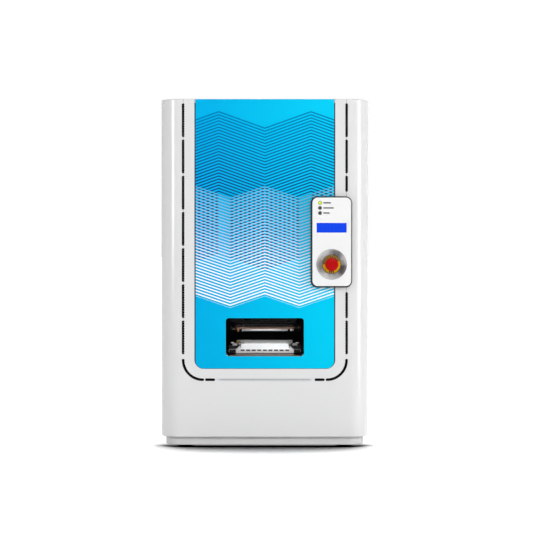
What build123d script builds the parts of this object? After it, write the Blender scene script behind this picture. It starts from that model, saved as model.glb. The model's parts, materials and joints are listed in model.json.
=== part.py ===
from build123d import *

import math
import os

os.makedirs("parts", exist_ok=True)

# Acoustic liquid handling robot: a white cabinet that stands on a bench or floor. A port in its
# blue front panel shows two plate grippers. The lower one carries the source plate. The upper one
# holds the destination plate upside down above it, and an acoustic transducer fires from below.
#
# Millimetres. +Z is up, the front faces -Y, and the origin is on the floor under the middle of
# the whole instrument. "Depth" always means the distance behind the cabinet's front face.

# ------------------------------------------------------------------ driving sizes
# Cabinet
cabinet_width = 533.0
cabinet_depth = 584.0
cabinet_height = 888.0
front_corner_radius = 50.0
rear_corner_radius = 9.0
sheet = 2.0  # folded steel panels
seat_gap = 0.3  # clearance of a panel or moving piece to what carries it
edge_round = 3.0

# Plinth and feet
foot_clearance = 4.0  # floor to plinth
plinth_height = 21.0
plinth_recess = 12.0
plinth_wall = 3.0
plinth_edge_round = 2.4
foot_radius = 22.0
foot_pad_height = 12.0
foot_stem_radius = 9.0
foot_inset = 62.0

# Front fascia and its graphic panel
fascia_wall = 4.0
fascia_wrap = 100.0  # how far the fascia runs back along the sides
panel_inset = 90.0  # side of the cabinet to the panel
panel_bottom = 200.4
panel_corner_radius = 20.0
panel_side_gap = 3.0
panel_bottom_gap = 1.0
top_lip = 1.0  # the panel stops this far below the rim
carrier_thickness = 3.0
carrier_top_gap = 4.0
carrier_edge_gap = 2.0  # carrier to the vent screens
bracket_sheet = 2.5
bracket_height = 40.0
bracket_foot = 14.0
bracket_levels = (220.0, 560.0, 800.0)

# Ventilation slots round the graphic panel
vent_inset = 58.2  # side of the cabinet to the vents' centre line
vent_width = 6.9
vent_top = 876.4
vent_bottom = 236.4
vent_count = 7
vent_bridge = 6.1
slot_corner_share = 0.29  # of a slot's width, cut off each of its corners
vent_corner_radius = 50.0
vent_floor = 171.6  # height of the lower run's centre line
short_vent_length = 25.5
short_vent_gap = 9.3
strip_gap = 6.45  # between the long lower vent and the short ones
strip_hole_size = 2.4
strip_hole_pitch = 6.35
screen_thickness = 1.5
screen_margin = 4.0

# Plate port
port_width = 199.3
port_height = 97.4
port_floor = 231.3
port_corner_radius = 8.0
liner_wall = 3.0
liner_depth = 35.0
sill_thickness = 1.5
sill_front = 1.0
sill_shelf_depth = 36.0
sill_tongue_width = 152.0
sill_tongue_depth = 72.0

# Control pod
pod_inset = 97.0  # side of the cabinet to the pod's centre line
pod_width = 103.5
pod_bottom = 408.0
pod_height = 229.8
pod_depth = 18.0
pod_wall = 2.5
pod_corner_radius = 16.0
pod_edge_round = 4.0
pod_vent_margin = 13.0
pod_hole_gap = 0.1
display_rise = 151.0  # pod's underside to the display's centre
display_width = 76.2
display_height = 24.6
display_module_width = 88.0
display_module_height = 36.0
display_module_depth = 6.5
display_recess = 0.4
lamp_offset = 29.4  # pod's centre line to the lamps
lamp_rise = 214.2  # pod's underside to the top lamp
lamp_pitch = 12.9
lamp_radius = 3.9
lamp_flange_radius = 5.2
lamp_flange_depth = 3.0
lamp_proud = 1.2

# Emergency stop, sizes along its own axis
estop_rise = 58.0  # pod's underside to the stop's axis
dish_radius = 38.8
dish_hole_radius = 37.7
dish_floor_radius = 23.6
dish_sheet = 1.2
dish_lip = 0.8
dish_sink = 9.0  # pod face to the dish's floor
collar_radius = 22.9
collar_height = 3.8
barrel_radius = 10.95
barrel_gap = 0.1
barrel_end = 8.0  # depth at which the contact block starts
button_radius = 16.6
button_height = 13.5
button_underside = 7.5  # collar to the button's underside
button_dome = 1.2  # how far the pressed face stands out in the middle
button_bevel = 3.0
button_travel = 6.0
stem_radius = 6.0
stem_bore_gap = 0.05
stem_socket = 7.7  # how far the stem stands in the button
stem_length = 48.0
contact_width = 30.0
contact_height = 40.0
contact_depth = 34.0
estop_hole_radius = 16.0

# Frame
post = 30.0
tube_wall = 2.5
post_inset = 46.5  # side of the cabinet to the posts' centre
front_post_depth = 45.0
rear_post_inset = 39.0
base_thickness = 8.0
deck_bottom = 90.0
deck_thickness = 15.0
upper_deck_bottom = 365.0
upper_deck_thickness = 12.0
cable_slot_x = 70.0
cable_slot_pitch = 150.0
cable_slot_size = (30.0, 90.0)
cable_slot_corner = 10.0
deck_tail = 30.0  # the decks reach this far past their beams between the posts
upper_deck_tail = 20.0
lid_height = 10.0
lid_skin = 3.0
lid_rim = 2.3
side_return = 17.0  # the side panels fold round the rear corners this far
side_vent_length = 160.0
side_vent_width = 5.0
side_vent_count = 6
side_vent_pitch = 14.0
rear_vent_length = 120.0

# Working chamber behind the port
chamber_half_width = 134.0
chamber_front = 30.0
chamber_rear_gap = 4.0  # rails' end to the chamber's rear wall
wall_sheet = 2.0
cable_hole_radius = 12.0

# Linear guides
rail_width = 15.0
rail_height = 12.5
rail_groove = 1.6
small_rail_width = 9.0
small_rail_height = 8.0
guide_gap = 0.3
block_width = 34.0
block_height = 23.0
block_length = 45.0
block_lift = 3.0  # foot of the rail to the underside of the block

# Microplate: standard footprint
plate_length = 127.76
plate_depth = 85.48
plate_height = 14.35
plate_skirt = 2.5
plate_step = 2.0
plate_corner = 3.5
plate_rim = 3.2
plate_rim_depth = 1.0

# Source stage
source_rail_x = 105.0
beam_width = 16.0
beam_top = 196.0
beam_lead = 16.0  # the beams start this far in front of their rails
rail_overrun = 5.0  # rail left beyond a carriage at the end of its travel
beam_pocket = 4.0
beam_flange = 20.0
source_carriage_front = 225.0
source_carriage_length = 120.0
source_carriage_thickness = 12.0
source_bar_inner = 82.0
source_bar_width = 48.0
source_crossbar = 30.0
nest_front = 75.0
nest_rear = 190.0
nest_half_width = 75.0
nest_thickness = 9.5
nest_window_width = 116.0
nest_window_depth = 76.0
nest_slot_count = 9
nest_slot_pitch = 14.5
nest_slot_width = 10.5
nest_slot_height = 3.9
nest_slot_depth = 6.0
source_plate_depth = 128.0  # depth of the plate's centre
guide_height = 8.5
guide_length = 24.0
plate_gap = 0.4
wing_front = 100.0
arm_inner = 80.0
arm_width = 14.0
arm_thickness = 8.0
stop_bar_height = 8.2
stop_bar_lift = 9.3  # nest to the bar
stop_bar_half_width = 73.5
stop_bar_thickness = 6.0
stop_post_width = 10.0
stop_post_x = 65.0
clamp_depth = 30.0
clamp_height = 8.0
clamp_foot_width = 16.0
clamp_foot_inset = 2.0
clamp_travel = 3.0
clamp_port_gap = 2.5  # an open clamp still clears the port by this
knob_radius = 5.5
knob_height = 5.0
source_slide_in = 120.0
source_slide_out = 185.0

# Destination stage
pivot_depth = 250.0
pivot_z = 290.0
destination_rail_x = 60.0
destination_slide_in = 40.0
destination_slide_out = 308.0
ring_half_width = 75.0
ring_half_depth = 48.0
ring_drop = 0.5  # the ring's underside lies this far below the pivot
ring_thickness = 6.0
ring_window_width = 118.0
ring_window_depth = 76.0
trunnion_radius = 4.0
trunnion_gap = 0.06
boss_radius = 7.0
boss_base_depth = 28.0
boss_base_width = 6.0
fork_inner = 80.0
fork_thickness = 10.0
fork_height = 16.0
fork_crossbar = 12.0
web_depth = 370.0
web_thickness = 12.0
hanger_length = 100.0
hanger_thickness = 12.0
bracket_depth = 48.0
pulley_gap = 1.0
pulley_radius = 9.0
pulley_width = 6.0
pulley_flange = 0.8
pulley_flange_rise = 1.5
belt_width = 3.8
belt_thickness = 1.5
belt_gap = 0.3
retainer_radius = 6.0
retainer_thickness = 1.5
motor_size = 42.0
motor_length = 40.0
motor_corner = 5.0
motor_depth = 406.0
motor_z = 304.0
motor_shaft_radius = 2.5
motor_shaft_gap = 0.05
motor_socket = 6.0
clamp_bar_half_width = 61.0
clamp_bar_height = 5.6
clamp_bar_depth = 4.5

# Linear motors
forcer_gap = 1.0
forcer_thickness = 7.5
track_half_width = 18.0
track_thickness = 8.0
track_bottom = 150.0
forcer_inset = 10.0
small_track_thickness = 5.0

# Transducer stage
transducer_depth = 243.0
transducer_radius = 22.0
transducer_bottom = 160.0
transducer_top = 216.0
transducer_nozzle_radius = 12.0
transducer_nozzle_height = 10.0
y_rail_x = 60.0
small_block_width = 22.0
small_block_height = 11.0
small_block_lift = 2.0
x_rail_spread = 30.0
stage_plate_half_depth = 42.0
stage_plate_thickness = 8.0
x_plate_half_width = 28.0
column_half_width = 20.0
column_thickness = 12.0
slide_thickness = 9.0
slide_half_width = 16.0
slide_height = 34.0
slide_inset = 4.0
slide_gap = 2.0
lift_rail_depth = 7.0
transducer_x_travel = 54.0
transducer_y_travel = 36.0
lift_travel = 22.0

# Services
fan_size = 119.0
fan_depth = 25.0
fan_x = 70.0
fan_z = 640.0
fan_bore_radius = 56.5
fan_hub_radius = 20.0
fan_tip_gap = 2.0
fan_plate = 4.0
fan_strut_width = 6.0
fan_shaft_radius = 3.0
fan_shaft_gap = 0.06
fan_shaft_length = 10.0
fan_blade_count = 7
fan_blade_chord = 20.0
fan_blade_thickness = 1.8
fan_blade_pitch = 36.0
fan_blade_root = 3.0  # how far a blade stands in the hub
fan_hole_spacing = 105.0
guard_wire = 2.8
guard_weld = 0.4
guard_ring_radii = (56.0, 42.0, 28.0, 14.0)
guard_ring_sides = 24
guard_pad_radius = 5.0
inlet_x = -150.0
inlet_z = 440.0
inlet_width = 30.0
inlet_height = 50.0
inlet_depth = 26.0
inlet_flange = 4.0
inlet_flange_thickness = 2.0
inlet_socket_width = 24.5
inlet_socket_height = 17.0
inlet_socket_depth = 15.0
inlet_socket_drop = 12.0
inlet_pin_width = 2.0
inlet_pin_height = 5.0
inlet_pin_pitch = 7.0
rocker_rise = 13.0
rocker_width = 20.0
rocker_half_height = 6.2
rocker_dip = 1.7
rocker_tilt = 10.0  # leans this far to either side of the middle
rocker_proud = 3.2
rocker_back = 5.0
rocker_gap = 0.6
rocker_pin_radius = 1.5
rocker_pin_length = 2.0
rocker_pin_gap = 0.05
data_x = -90.0
data_width = 60.0
data_height = 30.0
data_socket_width = 15.5
data_socket_height = 13.0
data_socket_depth = 14.0
data_socket_pitch = 24.0
reservoir_size = (54.0, 180.0, 150.0)
reservoir_x = -171.0
reservoir_front = 120.0
pump_radius = 24.0
pump_length = 90.0
pump_x = 171.0
pump_front = 160.0
supply_size = (130.0, 210.0, 90.0)
supply_x = -125.0
supply_front = 100.0
controller_size = (230.0, 260.0, 150.0)
controller_x = 75.0
controller_front = 100.0
controller_board_count = 6
amplifier_size = (150.0, 160.0, 90.0)
amplifier_x = -118.0
amplifier_rear_gap = 28.0  # amplifier to the rear connectors
amplifier_fin_count = 9

# ------------------------------------------------------------------ places worked out from them
rear_proud = 2 * guard_wire - guard_weld
collar_face = -pod_depth + dish_sink - collar_height
button_back = collar_face - button_underside
button_front = button_back - button_height
front = -(cabinet_depth + rear_proud + button_front) / 2
mid_y = front + cabinet_depth / 2
cabinet_floor = foot_clearance + plinth_height
base_top = cabinet_floor + base_thickness
deck_top = deck_bottom + deck_thickness
upper_deck_top = upper_deck_bottom + upper_deck_thickness
lid_bottom = cabinet_height - lid_height
block_top = beam_top + block_lift + block_height
nest_bottom = block_top + source_carriage_thickness
source_carriage_rear = source_carriage_front + source_carriage_length
stage_rail_start = source_carriage_front - source_slide_out - rail_overrun
source_rail_end = source_carriage_rear + source_slide_in + rail_overrun
beam_start = stage_rail_start - beam_lead
hanger_rear = web_depth + hanger_length
destination_rail_start = web_depth - destination_slide_out - rail_overrun
destination_rail_end = hanger_rear + destination_slide_in + rail_overrun
y_rail_half_length = stage_plate_half_depth + transducer_y_travel + rail_overrun
y_plate_half_width = x_plate_half_width + transducer_x_travel + rail_overrun
port_centre_z = port_floor + port_height / 2
panel_width = cabinet_width - 2 * panel_inset
vent_half_spacing = cabinet_width / 2 - vent_inset
post_x = cabinet_width / 2 - post_inset
rear_post_depth = cabinet_depth - rear_post_inset
chamber_rear = destination_rail_end + chamber_rear_gap
amplifier_front = cabinet_depth - inlet_depth - amplifier_rear_gap - amplifier_size[1]
pod_x = cabinet_width / 2 - pod_inset
display_z = pod_bottom + display_rise
estop_z = pod_bottom + estop_rise
lamp_x = pod_x - lamp_offset
lamp_top_z = pod_bottom + lamp_rise
estop_axis = Axis((pod_x, front, estop_z), (0, 1, 0))


def at(depth):
    """The Y coordinate of a depth behind the front face."""
    return front + depth


def frontal(depth):
    """A plane parallel to the front face, seen from the front: local X is X and local Y is Z."""
    return Plane.XZ.offset(-at(depth))


def sideways(x):
    """A plane across the cabinet at x: local X is Y and local Y is Z."""
    return Plane.YZ.offset(x)


def block(x, depth, z, mode=Mode.ADD):
    """A rectangular solid from its spans in X, in depth behind the front face, and in Z."""
    low = (x[0], at(depth[0]), z[0])
    with Locations(low):
        Box(x[1] - x[0], depth[1] - depth[0], z[1] - z[0], align=(Align.MIN,) * 3, mode=mode)


def rod(centre, direction, radius, length, mode=Mode.ADD):
    """A round bar that starts at centre and runs along direction."""
    with Locations(Plane(origin=centre, z_dir=direction)):
        Cylinder(radius, length, align=(Align.CENTER, Align.CENTER, Align.MIN), mode=mode)


def finish(piece, label):
    """Names a finished piece and writes its file."""
    piece.part.label = label
    export_step(piece.part, f"parts/{label}.step")


def cabinet_plan(inset):
    """The cabinet seen from above, drawn in by inset: round front corners, tighter rear ones."""
    with BuildSketch(mode=Mode.PRIVATE) as plan:
        with Locations((0, mid_y)):
            Rectangle(cabinet_width - 2 * inset, cabinet_depth - 2 * inset)
        fillet(plan.vertices().group_by(Axis.Y)[0], front_corner_radius - inset)
        fillet(plan.vertices().group_by(Axis.Y)[-1], max(rear_corner_radius - inset, 2))
    return plan.sketch


def inner_plan(inset):
    """The plan drawn in by the fascia's wall at the front and by inset behind the fascia."""
    with BuildSketch(mode=Mode.PRIVATE) as plan:
        add(cabinet_plan(inset))
        with Locations((0, at(fascia_wrap + seat_gap))):
            Rectangle(
                cabinet_width,
                cabinet_depth,
                align=(Align.CENTER, Align.MAX),
                mode=Mode.SUBTRACT,
            )
        add(cabinet_plan(fascia_wall))
    return plan.sketch


def both(inner, outer):
    """The two mirrored X spans between these distances from the middle."""
    return ((-outer, -inner), (inner, outer))


def rail_section(width, height, growth=0.0):
    """A guide rail's section, standing on the local X axis. Growth makes a bearing's channel."""
    with BuildSketch(mode=Mode.PRIVATE) as section_sketch:
        Rectangle(width + 2 * growth, height + growth, align=(Align.CENTER, Align.MIN))
        if not growth:
            with Locations((-width / 2, height * 0.55), (width / 2, height * 0.55)):
                Circle(rail_groove, mode=Mode.SUBTRACT)
    return section_sketch.sketch


def slot_outline(length, width):
    """A long slot along X whose corners are cut off."""
    with BuildSketch(mode=Mode.PRIVATE) as outline:
        Rectangle(length, width)
        chamfer(outline.vertices(), width * slot_corner_share)
    return outline.sketch


# ------------------------------------------------------------------ plinth, feet and frame
with BuildPart() as feet:
    foot_places = GridLocations(
        cabinet_width - 2 * foot_inset, cabinet_depth - 2 * foot_inset, 2, 2
    )
    with BuildSketch():
        with Locations((0, mid_y)):
            with foot_places:
                Circle(foot_radius)
    extrude(amount=foot_pad_height)
    with BuildSketch(Plane.XY.offset(foot_pad_height)):
        with Locations((0, mid_y)):
            with foot_places:
                Circle(foot_stem_radius)
    extrude(amount=cabinet_floor - foot_pad_height)
finish(feet, "feet")

with BuildPart() as plinth:
    with BuildSketch(Plane.XY.offset(foot_clearance)):
        add(cabinet_plan(plinth_recess))
    extrude(amount=plinth_height)
    fillet(plinth.faces().sort_by(Axis.Z)[0].edges(), plinth_edge_round)
    with BuildSketch(Plane.XY.offset(foot_clearance)):
        add(cabinet_plan(plinth_recess + plinth_wall))
    extrude(amount=plinth_height, mode=Mode.SUBTRACT)
finish(plinth, "plinth")

with BuildPart() as base_plate:
    with BuildSketch(Plane.XY.offset(cabinet_floor)):
        add(inner_plan(sheet))
    extrude(amount=base_thickness)
finish(base_plate, "base_plate")

with BuildPart() as frame_posts:
    post_places = [
        (side * post_x, at(depth))
        for side in (-1, 1)
        for depth in (front_post_depth, rear_post_depth)
    ]
    with BuildSketch(Plane.XY.offset(base_top)):
        with Locations(*post_places):
            RectangleRounded(post, post, 3)
            Rectangle(post - 2 * tube_wall, post - 2 * tube_wall, mode=Mode.SUBTRACT)
    extrude(amount=cabinet_height - lid_skin - base_top)
finish(frame_posts, "frame_posts")

beam_span = (front_post_depth + post / 2, rear_post_depth - post / 2)
beam_levels = (
    deck_bottom - post,
    upper_deck_bottom - post,
    cabinet_height - lid_skin - post,
)
with BuildPart() as frame_beams:
    # side beams, front to back between the posts
    with BuildSketch(Plane.XZ.offset(-at(beam_span[0]))):
        with Locations(*[(s * post_x, z + post / 2) for s in (-1, 1) for z in beam_levels]):
            Rectangle(post, post)
            Rectangle(post - 2 * tube_wall, post - 2 * tube_wall, mode=Mode.SUBTRACT)
    extrude(amount=-(beam_span[1] - beam_span[0]))
    # top cross beams, left to right between the posts
    with BuildSketch(sideways(-post_x + post / 2)):
        with Locations(
            *[
                (at(depth), beam_levels[-1] + post / 2)
                for depth in (front_post_depth, rear_post_depth)
            ]
        ):
            Rectangle(post, post)
            Rectangle(post - 2 * tube_wall, post - 2 * tube_wall, mode=Mode.SUBTRACT)
    extrude(amount=2 * post_x - post)
finish(frame_beams, "frame_beams")

with BuildPart() as main_deck:
    with BuildSketch(Plane.XY.offset(deck_bottom)):
        with Locations((0, at((beam_span[0] + beam_span[1]) / 2))):
            Rectangle(2 * post_x + post, beam_span[1] - beam_span[0])
            Rectangle(2 * post_x - post - 4, beam_span[1] - beam_span[0] + 2 * deck_tail)
    extrude(amount=deck_thickness)
finish(main_deck, "main_deck")

with BuildPart() as upper_deck:
    with BuildSketch(Plane.XY.offset(upper_deck_bottom)):
        with Locations((0, at((beam_span[0] + beam_span[1]) / 2))):
            Rectangle(2 * post_x + post, beam_span[1] - beam_span[0])
            Rectangle(2 * post_x - post - 4, beam_span[1] - beam_span[0] + 2 * upper_deck_tail)
            with GridLocations(2 * cable_slot_x, cable_slot_pitch, 2, 2):
                RectangleRounded(*cable_slot_size, cable_slot_corner, mode=Mode.SUBTRACT)
    extrude(amount=upper_deck_thickness)
finish(upper_deck, "upper_deck")

# ------------------------------------------------------------------ front fascia and its vents
vent_length = (vent_top - vent_bottom - (vent_count - 1) * vent_bridge) / vent_count
vent_spans = [
    (vent_top - n * (vent_length + vent_bridge) - vent_length,
     vent_top - n * (vent_length + vent_bridge))
    for n in range(vent_count)
]
pod_top = pod_bottom + pod_height
keep_clear = (pod_bottom - pod_vent_margin, pod_top + pod_vent_margin)


def clear_of_pod(spans):
    """The parts of the upright vents that the control pod leaves free."""
    pieces = []
    for low, high in spans:
        for part_low, part_high in ((low, min(high, keep_clear[0])), (max(low, keep_clear[1]), high)):
            if part_high - part_low > 2 * vent_width:
                pieces.append((part_low, part_high))
    return pieces


corner_x = vent_half_spacing - vent_corner_radius
corner_z = vent_floor + vent_corner_radius
short_vent_x = corner_x - short_vent_gap + vent_width / 2 - short_vent_length / 2
strip_half_length = short_vent_x - short_vent_length / 2 - strip_gap


def upright_vents(width):
    """Slots that run up both sides of the graphic panel."""
    extra = width - vent_width
    for side, spans in ((-1, vent_spans), (1, clear_of_pod(vent_spans))):
        for low, high in spans:
            with Locations(Location((side * vent_half_spacing, (low + high) / 2), 90)):
                add(slot_outline(high - low + extra, width))


def corner_vents(width):
    """Quarter-circle slots that turn under the graphic panel's lower corners."""
    for start, side in ((180, -1), (270, 1)):
        with BuildLine(mode=Mode.PRIVATE) as quarter:
            CenterArc((side * corner_x, corner_z), vent_corner_radius, start, 90)
        SlotArc(quarter.line.edge(), width)


def lower_vents(width):
    """Two short slots and the long one between them, under the graphic panel."""
    extra = width - vent_width
    with Locations((-short_vent_x, vent_floor), (short_vent_x, vent_floor)):
        add(slot_outline(short_vent_length + extra, width))
    with Locations((0, vent_floor)):
        add(slot_outline(2 * strip_half_length + extra, width))


with BuildPart() as front_fascia:
    with BuildSketch(Plane.XY.offset(cabinet_floor)):
        add(cabinet_plan(0))
    extrude(amount=cabinet_height - cabinet_floor)
    fillet(front_fascia.faces().sort_by(Axis.Z)[0].edges(), edge_round)
    fillet(front_fascia.faces().sort_by(Axis.Z)[-1].edges(), edge_round)
    with BuildSketch(Plane.XY.offset(cabinet_floor)):
        add(cabinet_plan(fascia_wall))
        with Locations((0, at(fascia_wrap))):
            Rectangle(cabinet_width, cabinet_depth, align=(Align.CENTER, Align.MIN))
    extrude(amount=cabinet_height - cabinet_floor, mode=Mode.SUBTRACT)
    # window for the graphic panel, open at the top
    with BuildSketch(frontal(0)) as window:
        with Locations((0, panel_bottom - panel_bottom_gap)):
            Rectangle(
                panel_width + 2 * panel_side_gap,
                cabinet_height,
                align=(Align.CENTER, Align.MIN),
            )
        fillet(window.vertices().group_by(Axis.Y)[0], panel_corner_radius + panel_side_gap)
    extrude(amount=-fascia_wall, mode=Mode.SUBTRACT)
    with BuildSketch(frontal(0)):
        upright_vents(vent_width)
        corner_vents(vent_width)
        lower_vents(vent_width)
    extrude(amount=-fascia_wall, mode=Mode.SUBTRACT)
    with BuildSketch(frontal(0)):
        with Locations((pod_x, estop_z)):
            Circle(estop_hole_radius)
    extrude(amount=-fascia_wall, mode=Mode.SUBTRACT)
finish(front_fascia, "front_fascia")

with BuildPart() as vent_screens:
    with BuildSketch(frontal(fascia_wall)):
        side_span = (corner_z, lid_bottom)
        with Locations(*[(s * vent_half_spacing, sum(side_span) / 2) for s in (-1, 1)]):
            Rectangle(vent_width + screen_margin, side_span[1] - side_span[0])
        with Locations((0, vent_floor)):
            Rectangle(2 * corner_x, vent_width + screen_margin)
    extrude(amount=-screen_thickness)
    with BuildSketch(frontal(fascia_wall)):
        for start, side in ((180, -1), (270, 1)):
            with BuildLine(mode=Mode.PRIVATE) as bend:
                CenterArc((side * corner_x, corner_z), vent_corner_radius, start, 90)
            trace(bend.line, vent_width + screen_margin)
    extrude(amount=-screen_thickness)
finish(vent_screens, "vent_screens")

with BuildPart() as lower_vent_strip:
    strip_holes = int((2 * strip_half_length - vent_width) / strip_hole_pitch)
    with BuildSketch(frontal(0.6)):
        with Locations((0, vent_floor)):
            add(slot_outline(2 * strip_half_length - 0.2, vent_width - 0.2))
            with GridLocations(strip_hole_pitch, 1, strip_holes, 1):
                Rectangle(strip_hole_size, strip_hole_size, mode=Mode.SUBTRACT)
    extrude(amount=-(fascia_wall - 0.6))
finish(lower_vent_strip, "lower_vent_strip")

with BuildPart() as graphic_panel:
    with BuildSketch(frontal(0)) as face:
        with Locations((0, panel_bottom)):
            Rectangle(
                panel_width,
                cabinet_height - top_lip - panel_bottom,
                align=(Align.CENTER, Align.MIN),
            )
        fillet(face.vertices().group_by(Axis.Y)[0], panel_corner_radius)
        with Locations((0, port_centre_z)):
            RectangleRounded(port_width, port_height, port_corner_radius, mode=Mode.SUBTRACT)
        with Locations((pod_x, estop_z)):
            Circle(estop_hole_radius, mode=Mode.SUBTRACT)
    extrude(amount=-fascia_wall)
finish(graphic_panel, "graphic_panel")

carrier_reach = vent_corner_radius - vent_width / 2 - screen_margin / 2 - carrier_edge_gap
with BuildPart() as panel_carrier:
    with BuildSketch(frontal(fascia_wall)) as sheet_outline:
        with Locations((0, corner_z - carrier_reach)):
            Rectangle(
                2 * (corner_x + carrier_reach),
                lid_bottom - carrier_top_gap - corner_z + carrier_reach,
                align=(Align.CENTER, Align.MIN),
            )
        fillet(sheet_outline.vertices().group_by(Axis.Y)[0], carrier_reach)
        with Locations((0, port_centre_z)):
            RectangleRounded(
                port_width + 2 * (liner_wall + seat_gap),
                port_height + 2 * (liner_wall + seat_gap),
                port_corner_radius + liner_wall,
                mode=Mode.SUBTRACT,
            )
        with Locations((pod_x, estop_z)):
            Circle(estop_hole_radius, mode=Mode.SUBTRACT)
    extrude(amount=-carrier_thickness)
finish(panel_carrier, "panel_carrier")

carrier_back = fascia_wall + carrier_thickness
post_front = front_post_depth - post / 2
bracket_x = corner_x + carrier_reach - bracket_sheet
with BuildPart() as panel_brackets:
    for level in bracket_levels:
        rise = (level, level + bracket_height)
        for x in both(bracket_x - bracket_foot, bracket_x):
            block(x, (carrier_back, carrier_back + bracket_sheet), rise)
        for x in both(bracket_x, bracket_x + bracket_sheet):
            block(x, (carrier_back, post_front), rise)
        for x in both(bracket_x, post_x - post / 2 + bracket_foot):
            block(x, (post_front - bracket_sheet, post_front), rise)
finish(panel_brackets, "panel_brackets")

# ------------------------------------------------------------------ plate port
with BuildPart() as port_liner:
    with BuildSketch(frontal(fascia_wall)):
        with Locations((0, port_centre_z)):
            RectangleRounded(
                port_width + 2 * liner_wall,
                port_height + 2 * liner_wall,
                port_corner_radius + liner_wall,
            )
            RectangleRounded(port_width, port_height, port_corner_radius, mode=Mode.SUBTRACT)
    extrude(amount=-(liner_depth - fascia_wall))
finish(port_liner, "port_liner")

sill_half_width = port_width / 2 - port_corner_radius
with BuildPart() as port_sill:
    sill_rise = (port_floor, port_floor + sill_thickness)
    block((-sill_half_width, sill_half_width), (sill_front, sill_shelf_depth), sill_rise)
    tongue = (-sill_tongue_width / 2, sill_tongue_width / 2)
    block(tongue, (sill_shelf_depth, sill_tongue_depth), sill_rise)
    fillet(port_sill.edges().filter_by(Axis.Z).group_by(Axis.Y)[-1], 6)
finish(port_sill, "port_sill")

# ------------------------------------------------------------------ outer panels
panel_start = fascia_wrap + seat_gap
side_vent_y = at(cabinet_depth - side_return - 2 * rear_corner_radius - side_vent_length / 2)
for side, label in ((-1, "left_side_panel"), (1, "right_side_panel")):
    with BuildPart() as side_panel:
        with BuildSketch(Plane.XY.offset(cabinet_floor)):
            add(cabinet_plan(0))
            add(cabinet_plan(sheet), mode=Mode.SUBTRACT)
            inner_edge = side * (cabinet_width / 2 - side_return)
            outward = Align.MIN if side > 0 else Align.MAX
            with Locations((inner_edge, at(panel_start))):
                Rectangle(
                    cabinet_width, cabinet_depth, align=(outward, Align.MIN), mode=Mode.INTERSECT
                )
        extrude(amount=lid_bottom - cabinet_floor)
        with BuildSketch(sideways(side * (cabinet_width / 2 - sheet))):
            with Locations((side_vent_y, deck_top + side_vent_length / 2)):
                with GridLocations(1, side_vent_pitch, 1, side_vent_count):
                    add(slot_outline(side_vent_length, side_vent_width))
        extrude(amount=side * sheet, mode=Mode.SUBTRACT)
    finish(side_panel, label)

with BuildPart() as rear_panel:
    with BuildSketch(frontal(cabinet_depth - sheet)):
        with Locations((0, (cabinet_floor + lid_bottom) / 2)):
            Rectangle(
                cabinet_width - 2 * (side_return + seat_gap), lid_bottom - cabinet_floor
            )
        with Locations((fan_x, fan_z)):
            Circle(fan_bore_radius, mode=Mode.SUBTRACT)
        with Locations((inlet_x, inlet_z)):
            Rectangle(inlet_width, inlet_height, mode=Mode.SUBTRACT)
        with Locations((data_x, inlet_z)):
            Rectangle(data_width, data_height, mode=Mode.SUBTRACT)
        with Locations((0, deck_top + side_vent_length / 2)):
            with GridLocations(rear_vent_length + 2 * side_vent_pitch, side_vent_pitch,
                               2, side_vent_count):
                add(slot_outline(rear_vent_length, side_vent_width), mode=Mode.SUBTRACT)
    extrude(amount=-sheet)
finish(rear_panel, "rear_panel")

with BuildPart() as top_cover:
    with BuildSketch(Plane.XY.offset(lid_bottom)):
        add(cabinet_plan(0))
    extrude(amount=lid_height)
    fillet(top_cover.faces().sort_by(Axis.Z)[-1].edges(), edge_round)
    with BuildSketch(Plane.XY.offset(lid_bottom)):
        with Locations((0, at(panel_start))):
            Rectangle(cabinet_width, cabinet_depth, align=(Align.CENTER, Align.MAX))
    extrude(amount=lid_height, mode=Mode.SUBTRACT)
    with BuildSketch(Plane.XY.offset(lid_bottom)):
        add(cabinet_plan(fascia_wall))
    extrude(amount=lid_height)
    with BuildSketch(Plane.XY.offset(lid_bottom)):
        add(cabinet_plan(fascia_wall + lid_rim))
    extrude(amount=lid_height - lid_skin, mode=Mode.SUBTRACT)
finish(top_cover, "top_cover")

# ------------------------------------------------------------------ control pod
pod_centre = (pod_x, pod_bottom + pod_height / 2)
lamp_places = [(lamp_x, lamp_top_z - n * lamp_pitch) for n in range(3)]
pod_inner_face = pod_wall - pod_depth
with BuildPart() as pod_housing:
    with BuildSketch(frontal(0)):
        with Locations(pod_centre):
            RectangleRounded(pod_width, pod_height, pod_corner_radius)
    extrude(amount=pod_depth)
    fillet(pod_housing.faces().sort_by(Axis.Y)[0].edges(), pod_edge_round)
    with BuildSketch(frontal(0)):
        with Locations(pod_centre):
            RectangleRounded(
                pod_width - 2 * pod_wall, pod_height - 2 * pod_wall, pod_corner_radius - pod_wall
            )
    extrude(amount=pod_depth - pod_wall, mode=Mode.SUBTRACT)
    with BuildSketch(frontal(-pod_depth)):
        with Locations((pod_x, estop_z)):
            Circle(dish_hole_radius)
        with Locations((pod_x, display_z)):
            Rectangle(display_width, display_height)
        with Locations(*lamp_places):
            Circle(lamp_radius)
    extrude(amount=-pod_wall, mode=Mode.SUBTRACT)
finish(pod_housing, "pod_housing")

with BuildPart() as display_module:
    with BuildSketch(frontal(pod_inner_face)):
        with Locations((pod_x, display_z)):
            Rectangle(display_module_width, display_module_height)
    extrude(amount=-display_module_depth)
    with BuildSketch(frontal(pod_inner_face)):
        with Locations((pod_x, display_z)):
            Rectangle(display_width - 2 * pod_hole_gap, display_height - 2 * pod_hole_gap)
    extrude(amount=pod_wall - display_recess)
finish(display_module, "display_module")

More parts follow.
